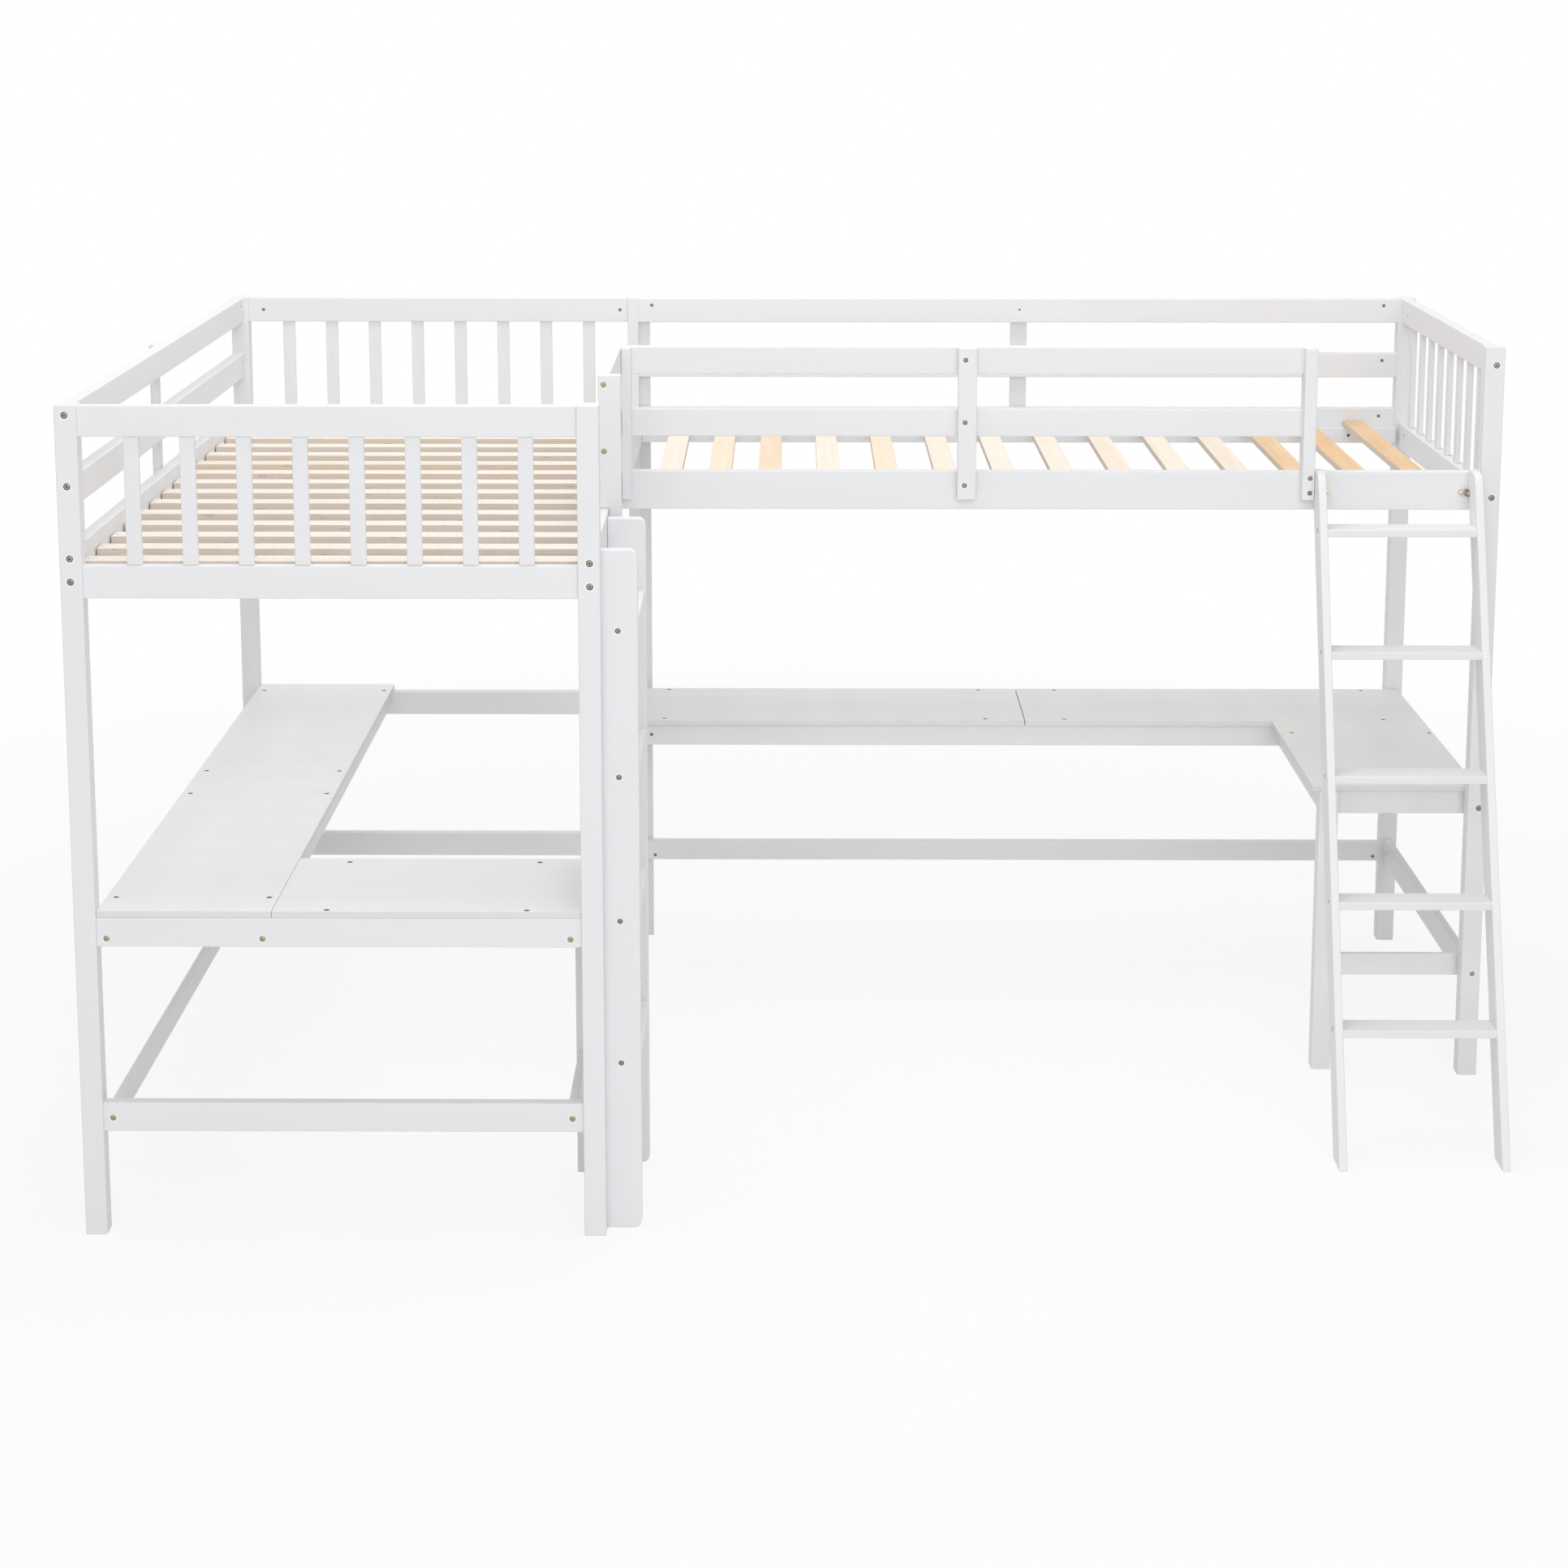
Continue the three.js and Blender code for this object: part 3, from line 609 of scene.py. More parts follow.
def hexagon(radius):
    """The reach of a hexagon at an angle."""
    flat = radius * math.cos(math.pi / 6)
    return lambda angle: flat / math.cos(angle % (math.pi / 3) - math.pi / 6)


def slot(half_length, half_width):
    """The reach of a straight slot at an angle."""
    def reach(angle):
        across, up = abs(math.cos(angle)) + TINY, abs(math.sin(angle)) + TINY
        return min(half_length / across, half_width / up)

    return reach


def cross(half_length, half_width):
    """The reach of a cross at an angle."""
    level = slot(half_length, half_width)
    return lambda angle: max(level(angle), level(angle + math.pi / 2))


def socket_head(radius, key):
    """A flanged head with a raised middle and a six-sided socket: (reach, height, material) rings."""
    return [
        (circle(radius), -FLANGE_FOOT, 0),
        (circle(radius), -FLANGE_SIDE, 0),
        (circle(radius - FLANGE_CORNER[0]), -FLANGE_CORNER[1], 0),
        (circle(radius * DISH_SHARE), -DISH_DEPTH, 0),
        # The raised middle takes the paler metal, a painted highlight; the flange, dish and socket keep the
        # darker one, painted shade
        (circle(radius * RAISED_SHARE), 0.0, 1),
        (hexagon(key), 0.0, 1),
        (hexagon(key * SOCKET_TAPER), -SOCKET_DEPTH, 0),
    ]


def driven_head(radius, drive, thin_drive, recess):
    """A flat round head with a drive recess: (reach, height, material) rings."""
    return [
        (circle(radius), -FLAT_HEAD_THICK, 0),
        (circle(radius), -FLAT_HEAD_CORNER, 0),
        # The bevelled corner takes the paler metal, which is a painted highlight
        (circle(radius - FLAT_HEAD_CORNER), 0.0, 1),
        (drive, 0.0, 0),
        (thin_drive, -recess, 0),
    ]


# Each kind's bore (radius, depth and width of its rim; bore and rim take the lighter rim paint, a painted
# highlight), how deep the head sits in it, its rings from the shank outwards and down into its recess, and
# its two metals: a darker copy, painted shade on the flange and in the recess, and a paler copy, a painted
# highlight on the raised middle or bevelled corner; pins and screws take bronze for both
KINDS = {
    "bolt": (
        (7.3 * MM, 2.6 * MM, 1.7 * MM), 0.7 * MM,
        socket_head(6.8 * MM, 2.6 * MM),
        (bronze, highlight_and_shade_bronze),
    ),
    "zinc_bolt": (
        (6.4 * MM, 2.6 * MM, 1.5 * MM), 0.7 * MM,
        socket_head(5.9 * MM, 2.3 * MM),
        (zinc, highlight_zinc),
    ),
    "cap_bolt": (
        (6.0 * MM, 2.4 * MM, 1.5 * MM), 0.6 * MM,
        socket_head(5.5 * MM, 2.0 * MM),
        (bronze, highlight_and_shade_bronze),
    ),
    "nut": (
        (4.8 * MM, 2.2 * MM, 1.0 * MM), 0.7 * MM,
        driven_head(4.3 * MM, slot(2.9 * MM, 0.7 * MM), slot(2.8 * MM, 0.65 * MM), 1.0 * MM),
        (zinc, highlight_zinc),
    ),
    "pin": (
        (2.9 * MM, 1.4 * MM, 0.7 * MM), 0.5 * MM,
        driven_head(2.6 * MM, cross(1.7 * MM, 0.35 * MM), cross(1.5 * MM, 0.3 * MM), 0.6 * MM),
        (bronze, bronze),
    ),
    "desk_screw": (
        (6.2 * MM, 1.8 * MM, 0.8 * MM), 0.5 * MM,
        driven_head(5.8 * MM, cross(3.2 * MM, 0.6 * MM), cross(2.8 * MM, 0.5 * MM), 1.1 * MM),
        (bronze, bronze),
    ),
    "screw": (
        (4.4 * MM, 1.6 * MM, 0.8 * MM), 0.4 * MM,
        driven_head(4.0 * MM, cross(2.5 * MM, 0.5 * MM), cross(2.2 * MM, 0.4 * MM), 1.0 * MM),
        (bronze, bronze),
    ),
}

fasteners = {}


def fasten(kind, host, face, *places):
    """Plans fasteners of a kind on a face of a host piece, at points on that face."""
    for place in places:
        turn = rng.uniform(0, math.pi)
        fasteners.setdefault(host, []).append((kind, face, Vector(place), turn))


def add_rings(bm, rings, place, face, turn):
    """A closed lathe-like form: rings of points around the face's direction, capped at both ends."""
    normal, across, up = FACES[face]
    loops = []
    for reach, height, _ in rings:
        loop = []
        for i in range(HEAD_SIDES):
            angle = 2 * math.pi * i / HEAD_SIDES
            u = reach(angle) * math.cos(angle + turn)
            v = reach(angle) * math.sin(angle + turn)
            loop.append(bm.verts.new(place + across * u + up * v + normal * height))
        loops.append(loop)
    join_rings(bm, loops, [index for _, _, index in rings[1:]])


def bore_rings(kind):
    (radius, depth, rim), *_ = KINDS[kind]
    return [
        (circle(radius), -depth, 1),
        (circle(radius), -RIM_DEPTH, 1),
        (circle(radius + rim), 0.0, 1),
        (circle(radius + rim), BORE_CLEAR, 1),
    ]


def cut_bores(piece, host):
    """Cuts the round bores of a host's fasteners out of a piece."""
    bm = bmesh.new()
    for kind, face, place, turn in fasteners[host]:
        add_rings(bm, bore_rings(kind), place, face, turn)
    cutter = object_from(bm, host + "_cutter")
    for material in piece.data.materials:
        cutter.data.materials.append(material)
    modifier = piece.modifiers.new("bores", "BOOLEAN")
    modifier.operation = "DIFFERENCE"
    modifier.solver = "EXACT"
    modifier.object = cutter
    apply_modifiers(piece)
    bpy.data.objects.remove(cutter)


def finish_metal(piece, metals, nodes):
    for metal in metals:
        piece.data.materials.append(metal)
    smooth(piece)
    settle(piece, nodes)


def add_heads(host, nodes):
    """The metal heads of a host's fasteners, one piece for each kind."""
    for kind, (_, sunk, rings, metals) in KINDS.items():
        planned = [row for row in fasteners[host] if row[0] == kind]
        if not planned:
            continue
        bm = bmesh.new()
        for _, face, place, turn in planned:
            add_rings(bm, rings, place - FACES[face][0] * sunk, face, turn)
        finish_metal(object_from(bm, f"{host}_{kind}s"), metals, nodes)


# Boards


def lay_grain(piece, along, tone, tint):
    """Stores each point's place in the board's own coordinates, and the board's colour."""
    order = {"x": (0, 1, 2), "y": (1, 0, 2), "z": (2, 0, 1)}[along]
    shift = [rng.uniform(0, GRAIN_SHIFT) for _ in order]
    mesh = piece.data
    values = []
    for vertex in mesh.vertices:
        values.extend(vertex.co[axis] + shift[i] for i, axis in enumerate(order))
    mesh.attributes.new("grain", "FLOAT_VECTOR", "POINT").data.foreach_set("vector", values)
    for name, value in (("tone", tone), ("tint", tint)):
        attribute = mesh.attributes.new(name, "FLOAT", "POINT")
        attribute.data.foreach_set("value", [value] * len(mesh.vertices))


def finish_wood(piece, along, edge, nodes, look=white_paint, tone=0.0, tint=0.0):
    """Rounds a wooden piece's edges, sinks its fasteners and gives it its surface."""
    host = piece.name.removesuffix("_wood")
    round_edges(piece, edge, EDGE_SEGMENTS)
    piece.data.materials.append(look)
    if host in fasteners:
        # In painted wood, the bores and their rims take the lighter rim paint, which is a painted highlight
        piece.data.materials.append(bare_pine if look == bare_pine else rim_highlight_paint)
        cut_bores(piece, host)
    smooth(piece)
    lay_grain(piece, along, tone, tint)
    settle(piece, nodes)
    if host in fasteners:
        add_heads(host, nodes)


def board(name, low, high, along, edge, nodes, **finish):
    """A rounded board between two corners, with its grain along an axis."""
    a, b = OUTLINE_AXES[along]
    outline = [(low[a], low[b]), (high[a], low[b]), (high[a], high[b]), (low[a], high[b])]
    piece = prism(name, outline, along, (low[AXES[along]], high[AXES[along]]))
    finish_wood(piece, along, edge, nodes, **finish)


def whole_board(node, along, edge=WOOD_EDGE, **finish):
    """A board that fills a node's box."""
    low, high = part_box(node)
    board(node + "_wood", low, high, along, edge, [node], **finish)


def grown(low, high, **changes):
    """A box with some of its six faces moved to named places, such as x0 for its lowest x."""
    corners = [Vector(low), Vector(high)]
    for key, value in changes.items():
        corners[int(key[1])]["xyz".index(key[0])] = value
    return corners


def rail(name, low, high, along, node, edge=WOOD_EDGE):
    """A rail between two corners, run slightly into the pieces that hold its ends."""
    run = AXES[along]
    ends = {along + "0": low[run] - END_LAP, along + "1": high[run] + END_LAP}
    board(name, *grown(low, high, **ends), along, edge, [node])


def whole_rail(node, along, edge=WOOD_EDGE):
    """A rail that fills a node's box."""
    rail(node + "_wood", *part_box(node), along, node, edge)


# Heights that the fasteners share


def middle(node, axis):
    low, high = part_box(node)
    return (low[axis] + high[axis]) / 2


top_rail_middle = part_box("guard_a_left")[1].z - GUARD_HEIGHT / 2
lower_rail_middle = top_rail_middle - GUARD_HEIGHT - GUARD_GAP
side_middle = middle("side_rail_a_left", 2)
panel_low_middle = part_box("end_panel_a_front")[0].z + PANEL_BOTTOM_HEIGHT / 2
RAIL_MIDDLES = (top_rail_middle, lower_rail_middle, side_middle)
GUARD_BOLTS = (top_rail_middle + BOLT_RISE, lower_rail_middle + BOLT_RISE)
SIDE_BOLTS = (side_middle + SIDE_BOLT_SPREAD, side_middle - SIDE_BOLT_SPREAD)
PANEL_BOLTS = (top_rail_middle, panel_low_middle)
PANEL_B_NUTS = (top_rail_middle - PANEL_B_DROP, panel_low_middle + PANEL_B_RISE)


def fasten_on(kind, node, face, heights, host=None, x=None, y=None):
    """Plans fasteners at some heights on a node's face, mid-face and in the node's own piece unless told."""
    low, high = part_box(node)
    place = {"x": middle(node, 0) if x is None else x, "y": middle(node, 1) if y is None else y}
    sides = {"left": ("x", low.x), "right": ("x", high.x), "front": ("y", low.y), "back": ("y", high.y)}
    axis, value = sides[face]
    place[axis] = value
    fasten(kind, host or node, face, *[(place["x"], place["y"], z) for z in heights])


# Posts and legs


def plan_post_bolts():
    """Bolts through the posts into the ends of the rails."""
    stretcher_a = middle("stretcher_a_front", 2)
    stretcher_b = middle("stretcher_b_right", 2)
    desk_a = middle("desk_rail_a_front", 2)
    desk_b = middle("desk_rail_b_right", 2)
    end_a = (*PANEL_BOLTS, desk_a, stretcher_a)
    end_b = (top_rail_middle - POST_B_DROP, panel_low_middle + PANEL_B_RISE, desk_b)
    back_b = (*GUARD_BOLTS, *SIDE_BOLTS, desk_b, stretcher_b)
    low_right = [z - FRONT_RIGHT_DROP for z in SIDE_BOLTS]
    left = {"x": middle("side_rail_a_left", 0) + LEFT_POST_SHIFT}
    right = {"x": middle("side_rail_a_right", 0) + RIGHT_POST_SHIFT}
    end = {"x": middle("post_b_front_right", 0) + POST_B_SHIFT}
    front = {"y": middle("end_panel_a_front", 1)}
    back = {"y": middle("end_panel_a_back", 1)}
    fasten_on("zinc_bolt", "post_b_front_right", "front", [stretcher_b], **end)
    for node, face, heights, place in (
        ("post_a_front_left", "front", (*GUARD_BOLTS, *SIDE_BOLTS), left),
        ("post_a_back_left", "back", (*GUARD_BOLTS, *SIDE_BOLTS), left),
        ("post_a_front_right", "front", low_right, right),
        ("post_middle_back", "back", SIDE_BOLTS, right),
        ("post_a_front_left", "left", end_a, front),
        ("post_a_back_left", "left", end_a, back),
        ("post_a_front_right", "right", end_a, front),
        ("post_b_back_right", "right", back_b, {"y": middle("side_rail_b_back", 1)}),
        ("post_b_front_right", "right", SIDE_BOLTS, {"y": middle("side_rail_b_front", 1)}),
        ("post_b_front_right", "front", end_b, end),
        ("post_b_back_right", "back", (*end_b, stretcher_b), end),
    ):
        fasten_on("bolt", node, face, heights, **place)


def corner_post():
    """The shared post at the back of the corner, rebated for bed B's back rails."""
    low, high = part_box("post_middle_back")
    x = low.x + CORNER_REBATE_WIDTH
    y = low.y + CORNER_REBATE_DEPTH
    outline = [(low.x, low.y), (x, low.y), (x, y), (high.x, y), (high.x, high.y), (low.x, high.y)]
    piece = prism("post_middle_back_wood", outline, "z", (low.z, high.z))
    finish_wood(piece, "z", WOOD_EDGE, ["post_middle_back"])


def posts():
    plan_post_bolts()
    for node in ("post_a_front_left", "post_a_front_right", "post_a_back_left", "post_b_back_right",
                 "post_b_front_right", "leg_b_front_left", "desk_leg_a", "desk_leg_b"):
        whole_board(node, "z")
    corner_post()


# Rails that are plain boards, by the axis that they run along

RAILS = {
    "x": (
        "side_rail_b_front", "side_rail_b_back", "stretcher_a_front", "stretcher_a_back",
        "stretcher_b_back", "stretcher_b_front", "desk_rail_a_front", "desk_rail_a_back",
        "desk_rail_a_cross", "desk_rail_b_front", "desk_rail_b_back", "desk_rail_b_end_front",
    ),
    "y": (
        "side_rail_a_left", "side_rail_a_right", "stretcher_a_left", "stretcher_a_right",
        "desk_rail_a_left", "desk_rail_a_inner", "desk_rail_a_right", "desk_rail_b_left",
        "desk_rail_b_right", "desk_rail_b_end_left", "stretcher_b_right",
    ),
}


def plan_rail_nuts():
    """Barrel nuts in the rails, a little way in from the posts."""
    stretcher_nut = middle("stretcher_b_back", 2) - STRETCHER_NUT_DROP
    for node, face, heights, insets in (
        ("side_rail_b_back", "front", SIDE_BOLTS, SIDE_BACK_NUTS),
        ("side_rail_b_front", "back", SIDE_BOLTS, EVEN_NUTS),
        ("stretcher_b_back", "front", [stretcher_nut], STRETCHER_BACK_NUTS),
        ("desk_rail_b_front", "front", [middle("desk_rail_b_front", 2)], EVEN_NUTS),
        ("stretcher_a_back", "front", [middle("stretcher_a_back", 2)], EVEN_NUTS),
        ("desk_rail_a_back", "front", [middle("desk_rail_a_back", 2)], EVEN_NUTS),
    ):
        low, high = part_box(node)
        for x in (low.x + insets[0], high.x - insets[1]):
            fasten_on("nut", node, face, heights, x=x)
    for node, face, heights in (
        ("side_rail_a_left", "right", SIDE_BOLTS),
        ("side_rail_a_right", "left", SIDE_BOLTS),
        ("stretcher_b_right", "left", [middle("stretcher_b_right", 2)]),
        ("desk_rail_b_right", "left", [middle("desk_rail_b_right", 2)]),
    ):
        low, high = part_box(node)
        for y in (low.y + EVEN_NUTS[0], high.y - EVEN_NUTS[1]):
            fasten_on("nut", node, face, heights, y=y)


def plan_slim_bolts():
    """Bolts through the front rails of part A into the ends of the slim rails behind them."""
    slim = {
        "desk_rail_a_front": ("desk_rail_a_left", "desk_rail_a_inner", "desk_rail_a_right"),
        "stretcher_a_front": ("desk_rail_a_left", "desk_rail_a_right"),
    }
    for node, ends in slim.items():
        height = [middle(node, 2) - SLIM_BOLT_DROPS[node]]
        for end in ends:
            fasten_on("zinc_bolt", node, "front", height, x=middle(end, 0))


def plain_rails():
    plan_rail_nuts()
    plan_slim_bolts()
    for along, nodes in RAILS.items():
        for node in nodes:
            whole_rail(node, along)


# End panels


def end_panel(node, along, face, heights, insets):
    """Two rails with upright slats between them, and barrel nuts near the rails' ends on one face."""
    low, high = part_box(node)
    across = ACROSS[along]
    run, depth = AXES[along], AXES[across]
    for label, z in zip(("top", "bottom"), heights):
        for place in (low[run] + insets[0], high[run] - insets[1]):
            fasten_on("nut", node, face, [z], f"{node}_{label}_rail", **{along: place})
    bottom_top = low.z + PANEL_BOTTOM_HEIGHT
    top_bottom = high.z - GUARD_HEIGHT
    rail(node + "_bottom_rail", *grown(low, high, z1=bottom_top), along, node)
    rail(node + "_top_rail", *grown(low, high, z0=top_bottom), along, node)
    pattern = (PANEL_SLAT_COUNT - 1) * PANEL_SLAT_PITCH + PANEL_SLAT_WIDTH
    first = (low[run] + high[run] - pattern) / 2
    recess = (high[depth] - low[depth] - PANEL_SLAT_THICK) / 2
    thick = {across + "0": low[depth] + recess, across + "1": high[depth] - recess}
    for i in range(PANEL_SLAT_COUNT):
        start = first + i * PANEL_SLAT_PITCH
        wide = {along + "0": start, along + "1": start + PANEL_SLAT_WIDTH}
        corners = grown(low, high, z0=bottom_top, z1=top_bottom, **wide, **thick)
        board(f"{node}_slat_{i + 1}", *corners, "z", SLIM_EDGE, [node])


# Guards


def guard_rails(node, along, low, high):
    """A guard's upper and lower rail."""
    for label, top in (("upper_rail", high.z), ("lower_rail", high.z - GUARD_HEIGHT - GUARD_GAP)):
        rail(f"{node}_{label}", *grown(low, high, z0=top - GUARD_HEIGHT, z1=top), along, node)


def backed_guard(node, along, faces, insets, place, rail_side, support_side):
    """Two rails with nuts on one face, and a support bolted to their other face at a place."""
    low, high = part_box(node)
    run = AXES[along]
    for label, z in zip(("upper_rail", "lower_rail"), GUARD_BOLTS):
        host = f"{node}_{label}"
        for end in (low[run] + insets[0], high[run] - insets[1]):
            fasten_on("nut", node, faces[0], [z], host, **{along: end})
        fasten_on("pin", node, faces[0], [z - SUPPORT_NUT_DROP], host, **{along: place})
    guard_rails(node, along, *grown(low, high, **rail_side))
    host = node + "_support"
    fasten_on("bolt", node, faces[1], RAIL_MIDDLES, host, **{along: place})
    wide = {along + "0": place - SUPPORT_WIDTH / 2, along + "1": place + SUPPORT_WIDTH / 2}
    board(host, *grown(low, high, **support_side, **wide), "z", WOOD_EDGE, [node])


def guard_a_left():
    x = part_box("guard_a_left")[1].x - GUARD_THICK
    place = middle("guard_a_left", 1)
    backed_guard("guard_a_left", "y", ("right", "left"), EVEN_NUTS, place, {"x0": x}, {"x1": x})


def guard_b_back():
    low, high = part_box("guard_b_back")
    y = low.y + GUARD_THICK
    place = (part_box("side_rail_b_front")[0].x + high.x) / 2
    backed_guard("guard_b_back", "x", ("front", "back"), GUARD_BACK_NUTS, place, {"y1": y}, {"y0": y})


def stepped_outline(outer, inner, rail_face, low_z, seat, high_z):
    """A short post's side view: it hangs in front of a side rail and steps back over the rail's top."""
    foot = [(outer, low_z), (rail_face, low_z), (rail_face, seat)]
    return foot + [(inner, seat), (inner, high_z), (outer, high_z)]


def guard_a_right():
    node = "guard_a_right"
    low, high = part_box(node)
    side_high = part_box("side_rail_a_right")[1]
    entry_back = low.y + ENTRY_POST_THICK
    rail_x = low.x + ENTRY_RAIL_THICK
    heights = (top_rail_middle + ENTRY_BOLT_RISE, lower_rail_middle + ENTRY_BOLT_RISE)
    fasten_on("zinc_bolt", node, "front", heights, node + "_entry_post", x=(low.x + rail_x) / 2)
    seat = side_high.z + SEAT_GAP
    outline = stepped_outline(high.x, low.x, side_high.x + SEAT_GAP, low.z, seat, high.z)
    entry = prism(node + "_entry_post", outline, "y", (low.y, entry_back))
    finish_wood(entry, "z", WOOD_EDGE, [node])
    guard_rails(node, "y", *grown(low, high, y0=entry_back, x1=rail_x))


def guard_b_front():
    node = "guard_b_front"
    low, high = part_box(node)
    side_low, side_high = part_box("side_rail_b_front")
    left = (low.x, low.x + LEFT_SHORT_POST)
    right = (high.x - RIGHT_SHORT_POST, high.x)
    fasten_on("cap_bolt", node, "front", LIP_BOLTS, node + "_right_post", x=right[0] + LIP_BOLT_INSET)
    seat = side_high.z + SEAT_GAP
    outline = stepped_outline(low.y, high.y, side_low.y - SEAT_GAP, low.z, seat, high.z)
    for label, span in (("left_post", left), ("right_post", right)):
        short = prism(f"{node}_{label}", outline, "x", span)
        finish_wood(short, "z", WOOD_EDGE, [node])
    rail_low = side_low.y - GUARD_PROUD
    guard_rails(node, "x", *grown(low, high, x0=left[1], x1=right[0], y0=rail_low, y1=side_high.y))
    x = (left[1] + right[0]) / 2
    heights = [z + rise for z, rise in zip(RAIL_MIDDLES, MIDDLE_BOLT_RISES)]
    fasten_on("cap_bolt", node, "front", heights, node + "_middle_post", x=x - MIDDLE_BOLT_OFFSET)
    post = grown(low, high, x0=x - SUPPORT_WIDTH / 2, x1=x + SUPPORT_WIDTH / 2, y1=rail_low)
    board(node + "_middle_post", *post, "z", WOOD_EDGE, [node])


# Mattress slats on their battens


def battens(node, along, name):
    """Two battens across the slats' ends, screwed to the side rails from the inside."""
    low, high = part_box(node)
    across = ACROSS[along]
    run, step = AXES[along], AXES[across]
    top = low.z + BATTEN_HEIGHT
    first = low[step] + BATTEN_SCREW_INSET
    reach = high[step] - BATTEN_SCREW_INSET - first
    places = (low[run] + BATTEN_WIDTH, high[run] - BATTEN_WIDTH)
    faces = ("right", "left") if along == "x" else ("back", "front")
    for label, place, face, end in zip(("low", "high"), places, faces, "10"):
        host = f"batten_{name}_{label}"
        for i in range(BATTEN_SCREWS):
            spot = first + reach * i / (BATTEN_SCREWS - 1)
            fasten("screw", host, face, point_at(along, place, spot, (low.z + top) / 2))
        board(host, *grown(low, high, z1=top, **{along + end: place}), across, SLAT_EDGE, [node])


def slats(node, along, starts, name, tones, tints):
    """The slats of one bed; along is the slats' own direction."""
    low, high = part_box(node)
    across = ACROSS[along]
    run = AXES[along]
    ends = {along + "0": low[run] + SLAT_INSET, along + "1": high[run] - SLAT_INSET}
    pins = (low[run] + BATTEN_WIDTH / 2, high[run] - BATTEN_WIDTH / 2)
    for i, start in enumerate(starts):
        centre = start + SLAT_WIDTH / 2
        host = f"slat_{name}_{i + 1:02d}"
        for pin in pins:
            fasten("pin", host, "top", point_at(along, pin, centre, high.z))
        sides = {across + "0": start, across + "1": start + SLAT_WIDTH}
        corners = grown(low, high, z0=low.z + BATTEN_HEIGHT, **ends, **sides)
        board(host, *corners, along, SLAT_EDGE, [node], look=bare_pine, tone=tones[i], tint=tints[i])


def slat_bases():
    low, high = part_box("slat_base_a")
    first = low.y + SLAT_INSET
    pitch = (high.y - SLAT_INSET - SLAT_WIDTH - first) / (SLAT_COUNT_A - 1)
    starts = [first + i * pitch for i in range(SLAT_COUNT_A)]
    battens("slat_base_a", "x", "a")
    slats("slat_base_a", "x", starts, "a", TONES_A, TINTS_A)

    low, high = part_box("slat_base_b")
    first = low.x + SLAT_FIRST_B
    first_wide = first + SLAT_CLOSE_COUNT_B * SLAT_CLOSE_PITCH_B
    wide_count = SLAT_COUNT_B - SLAT_CLOSE_COUNT_B
    wide = (high.x - SLAT_LAST_GAP_B - SLAT_WIDTH - first_wide) / (wide_count - 1)
    starts = [first + i * SLAT_CLOSE_PITCH_B for i in range(SLAT_CLOSE_COUNT_B)]
    starts += [first_wide + i * wide for i in range(wide_count)]
    battens("slat_base_b", "y", "b")
    slats("slat_base_b", "y", starts, "b", TONES_B, TINTS_B)


# Desk


def desk_boards():
    for node, x_insets, y_insets, along in DESK_SCREWS:
        low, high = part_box(node)
        for u in x_insets:
            for v in y_insets:
                x = low.x + u if u > 0 else high.x + u
                y = low.y + v if v > 0 else high.y + v
                fasten("desk_screw", node, "top", (x, y, high.z))
        # Bed B's boards take the shaded copy of the paint, which is painted shade under the bed
        look = lit_board_paint_a if "board_a" in node else shaded_board_paint_b
        whole_board(node, along, DESK_EDGE, look=look)


# Ladders


def ladder_a():
    treads = [f"ladder_a_tread_{i + 1}" for i in range(LADDER_A_TREADS)]
    heights = [middle(tread, 2) for tread in treads]
    for face in ("front", "back"):
        node = f"ladder_a_side_{face}"
        fasten_on("cap_bolt", node, face, heights)
        low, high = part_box(node)
        r = LADDER_A_RADIUS
        lower = arc((high.x - r, low.z + r), r, -QUARTER_TURN, 0)
        upper = arc((high.x - r, high.z - r), r, 0, QUARTER_TURN)
        outline = [(low.x, low.z), *lower, *upper, (low.x, high.z)]
        side = prism(node + "_wood", outline, "y", (low.y, high.y))
        finish_wood(side, "z", WOOD_EDGE, [node])
    for tread in treads:
        whole_rail(tread, "y")


def ladder_b():
    treads = [f"ladder_b_tread_{i + 1}" for i in range(LADDER_B_TREADS)]
    for face in ("left", "right"):
        node = f"ladder_b_side_{face}"
        for tread in treads:
            fasten_on("bolt", node, face, [middle(tread, 2)], y=middle(tread, 1))
        low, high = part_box(node)
        slope = (high.y - LADDER_B_FOOT - low.y) / (high.z - LADDER_B_PLUMB)
        front = [(low.y + z * slope, z) for z in (high.z, high.z - LADDER_B_RADIUS)]
        outline = [(low.y, low.z), (low.y + LADDER_B_FOOT, low.z), (high.y, high.z - LADDER_B_PLUMB)]
        outline += [(high.y, high.z), *curve((front[0][0] + LADDER_B_RADIUS, high.z), *front)]
        side = prism(node + "_wood", outline, "x", (low.x, high.x))
        finish_wood(side, "z", WOOD_EDGE, [node])
    for tread in treads:
        whole_rail(tread, "x", SLIM_EDGE)


# A pan-head screw's (reach, height, material) rings, from its foot up and down into its cross; the second
# material, a darker bronze, is painted shade inside the cross
PAN_HEAD = [
    (circle(3.9 * MM), 0.0, 0),
    (circle(3.9 * MM), 0.9 * MM, 0),
    (circle(3.3 * MM), 1.7 * MM, 0),
    (circle(2.6 * MM), 2.0 * MM, 0),
    (cross(2.0 * MM, 0.45 * MM), 2.0 * MM, 0),
    (cross(1.8 * MM, 0.4 * MM), 1.0 * MM, 1),
]


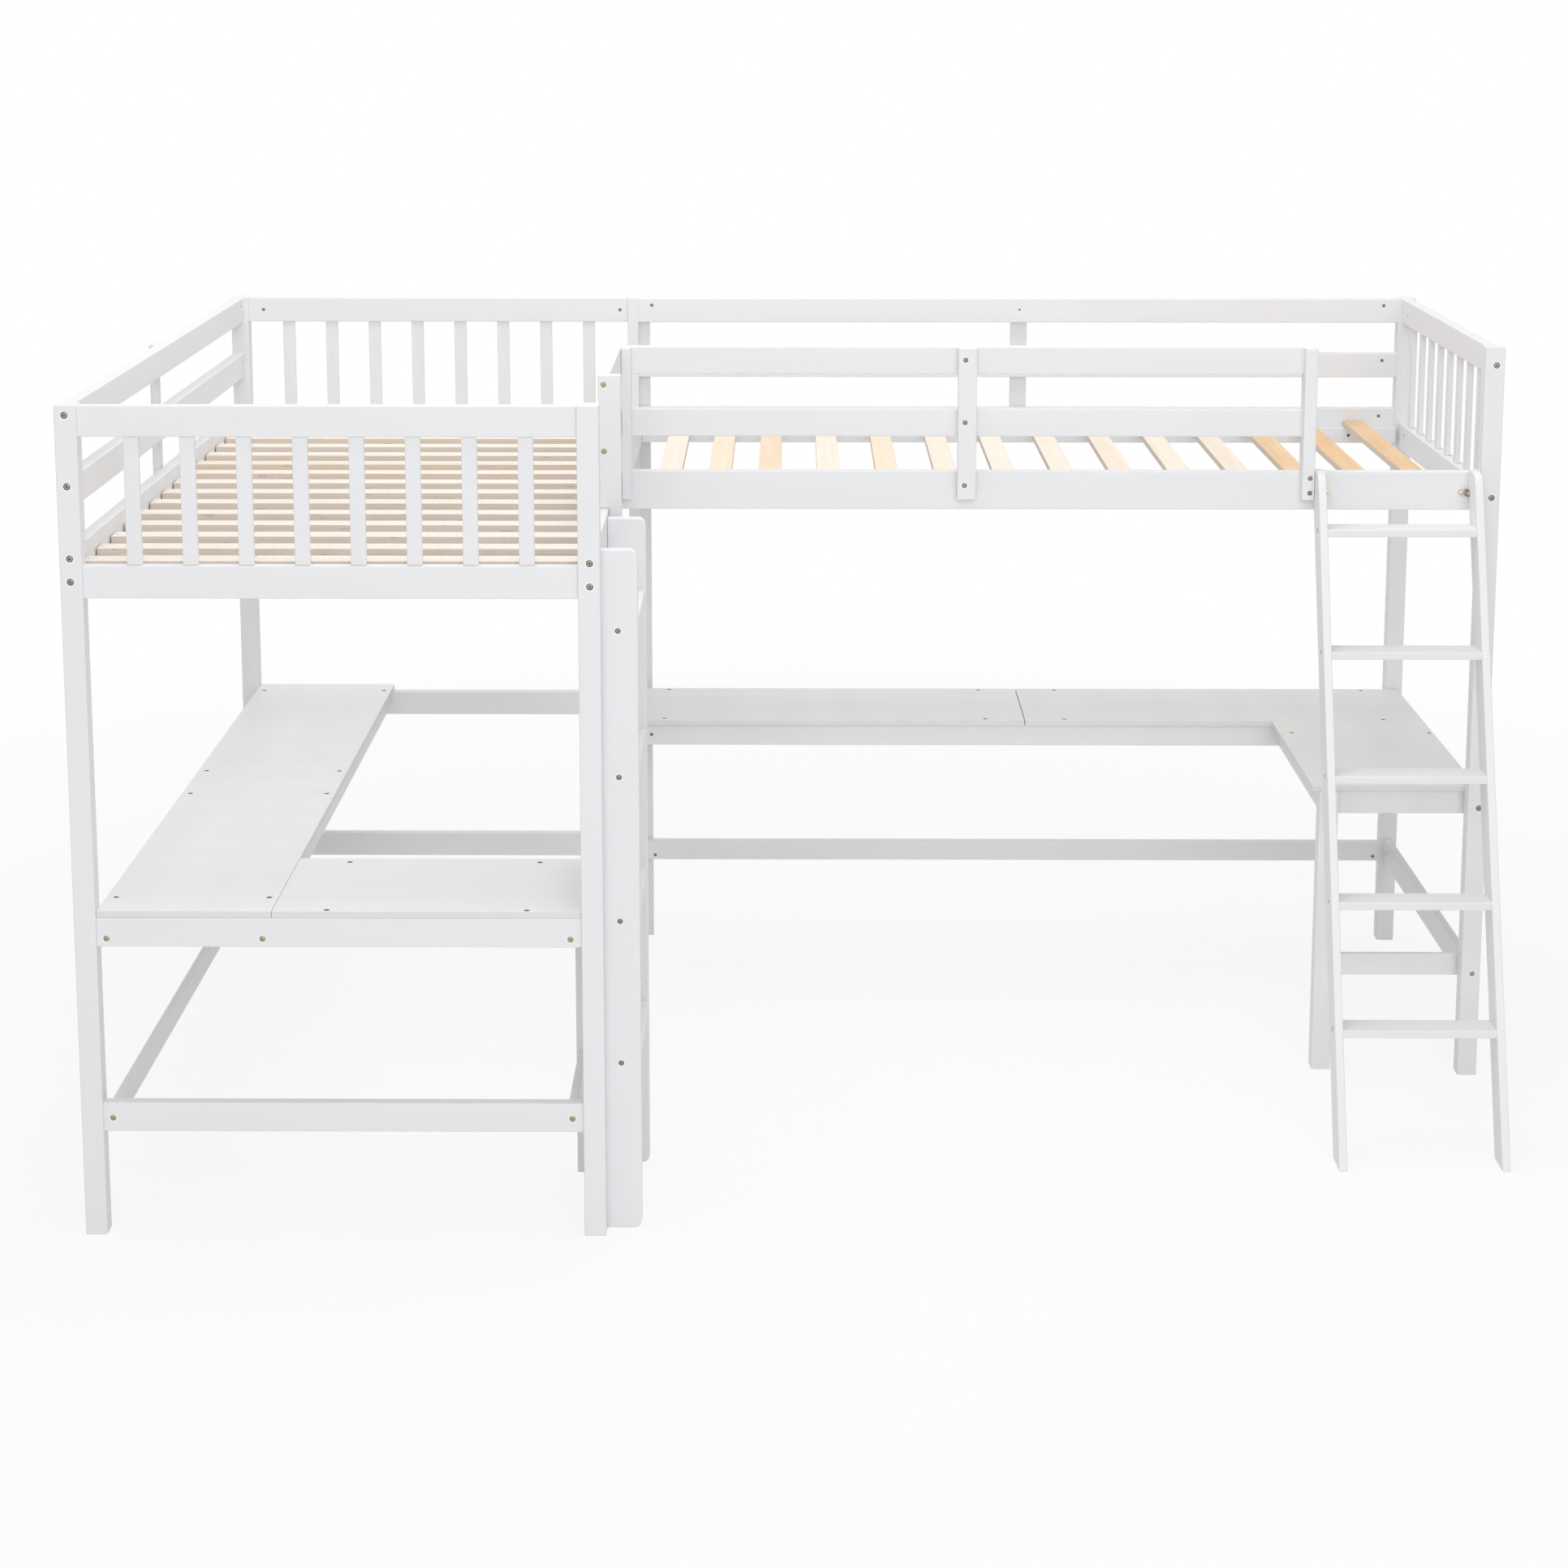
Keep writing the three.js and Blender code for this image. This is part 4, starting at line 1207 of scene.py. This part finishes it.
def bracket(name, corner, side):
    """A bent strip of steel, pale on the rail, with painted shade near its bend and on the leg on the
    ladder's side.
    """
    half = BRACKET_WIDTH / 2
    bm = bmesh.new()
    rings = []
    for i in range(BRACKET_STEPS + 1):
        s = 2 * BRACKET_LEG * i / BRACKET_STEPS
        short_of_round = half - min(s, 2 * BRACKET_LEG - s)
        reach = math.sqrt(max(BRACKET_EDGE**2, half**2 - max(0.0, short_of_round) ** 2))
        along_rail = max(0.0, BRACKET_LEG - s)
        along_side = max(0.0, s - BRACKET_LEG)
        ring = []
        for out, height in ((0.0, -reach), (0.0, reach), (BRACKET_THICK, reach), (BRACKET_THICK, -reach)):
            x = corner.x - side * max(along_rail, out)
            y = corner.y - max(along_side, out)
            ring.append(bm.verts.new((x, y, corner.z + height)))
        rings.append(ring)
    join_rings(bm, rings, [int(i >= BRACKET_SHADE_STEP) for i in range(BRACKET_STEPS)])
    strip = object_from(bm, name)
    round_edges(strip, BRACKET_EDGE, BRACKET_EDGE_SEGMENTS)
    finish_metal(strip, (champagne, highlight_and_shade_bronze), [])
    bm = bmesh.new()
    screw_at = BRACKET_LEG - half
    rail_screw = corner - Vector((side * screw_at, BRACKET_THICK, 0))
    side_screw = corner - Vector((side * BRACKET_THICK, screw_at, 0))
    add_rings(bm, PAN_HEAD, rail_screw, "front", rng.uniform(0, math.pi))
    add_rings(bm, PAN_HEAD, side_screw, "left" if side > 0 else "right", rng.uniform(0, math.pi))
    finish_metal(object_from(bm, name + "_screws"), (steel, bronze), [])


def brackets():
    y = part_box("side_rail_b_front")[0].y
    z = middle("side_rail_b_front", 2) - BRACKET_DROP
    bracket("ladder_b_bracket_left", Vector((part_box("ladder_b_side_left")[1].x, y, z)), -1)
    bracket("ladder_b_bracket_right", Vector((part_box("ladder_b_side_right")[0].x, y, z)), 1)


# Floor, light and camera


def floor():
    """A pale floor that keeps a faint soft shadow near the bed and fades to white far from it."""
    bm = bmesh.new()
    bmesh.ops.create_circle(bm, cap_ends=True, radius=FLOOR_RADIUS, segments=FLOOR_SIDES)
    piece = object_from(bm, "floor")
    material, tree, shader, output = node_material("pale_floor", FLOOR_SHEEN_LEVEL)
    shader.inputs["Base Color"].default_value = (*FLOOR_COLOUR, 1.0)
    shader.inputs["Roughness"].default_value = FLOOR_ROUGHNESS
    place = add(tree, "NewGeometry").outputs["Position"]
    reach = add(tree, "VectorMath", {0: place}, operation="LENGTH").outputs["Value"]
    inputs = {"Value": reach, "From Min": FLOOR_FADE[0], "From Max": FLOOR_FADE[1], "To Min": FLOOR_WHITE}
    fade = add(tree, "MapRange", inputs).outputs["Result"]
    white = add(tree, "Emission", {"Color": WHITE, "Strength": 1.0}).outputs["Emission"]
    share = maths(tree, "MULTIPLY", fade, seen_directly(tree))
    blend = add(tree, "MixShader", {0: share, 1: shader.outputs["BSDF"], 2: white})
    plug(tree, output.inputs["Surface"], blend.outputs["Shader"])
    piece.data.materials.append(material)


def world():
    """White to the camera, to gloss and to glass; a plain soft level for everything else."""
    studio = bpy.data.worlds.new("studio")
    bpy.context.scene.world = studio
    studio.use_nodes = True
    tree = studio.node_tree
    tree.nodes.clear()
    soft = add(tree, "Background", {"Color": SKY_COLOUR, "Strength": SKY_STRENGTH})
    white = add(tree, "Background", {"Color": WHITE, "Strength": 1.0})
    inputs = {0: seen_directly(tree), 1: soft.outputs["Background"], 2: white.outputs["Background"]}
    blend = add(tree, "MixShader", inputs)
    add(tree, "OutputWorld", {"Surface": blend.outputs["Shader"]})


def softbox(name, place, target, size, watts):
    light = bpy.data.lights.new(name, "AREA")
    light.shape = "RECTANGLE"
    light.size, light.size_y = size
    light.energy = watts
    lamp = bpy.data.objects.new(name, light)
    lamp.location = place
    lamp.rotation_euler = (Vector(target) - Vector(place)).to_track_quat("-Z", "Y").to_euler()
    bpy.context.scene.collection.objects.link(lamp)


def camera():
    data = bpy.data.cameras.new("camera")
    data.lens = LENS
    data.sensor_width = SENSOR
    data.shift_x, data.shift_y = SHIFT
    eye = bpy.data.objects.new("camera", data)
    eye.location = EYE
    eye.rotation_euler = (math.pi / 2 - EYE_PITCH, 0.0, EYE_TURN)
    bpy.context.scene.collection.objects.link(eye)
    bpy.context.scene.camera = eye


# Everything is built here

posts()
plain_rails()
end_panel("end_panel_a_front", "x", "back", PANEL_BOLTS, EVEN_NUTS)
end_panel("end_panel_a_back", "x", "front", PANEL_BOLTS, PANEL_BACK_NUTS)
end_panel("end_panel_b_right", "y", "left", PANEL_B_NUTS, PANEL_RIGHT_NUTS)
guard_a_left()
guard_a_right()
guard_b_front()
guard_b_back()
slat_bases()
desk_boards()
ladder_a()
ladder_b()
brackets()
floor()
world()
softbox("top_softbox", *TOP_LIGHT)
softbox("front_softbox", *FRONT_LIGHT)
camera()
bpy.context.scene.view_settings.view_transform = "Standard"
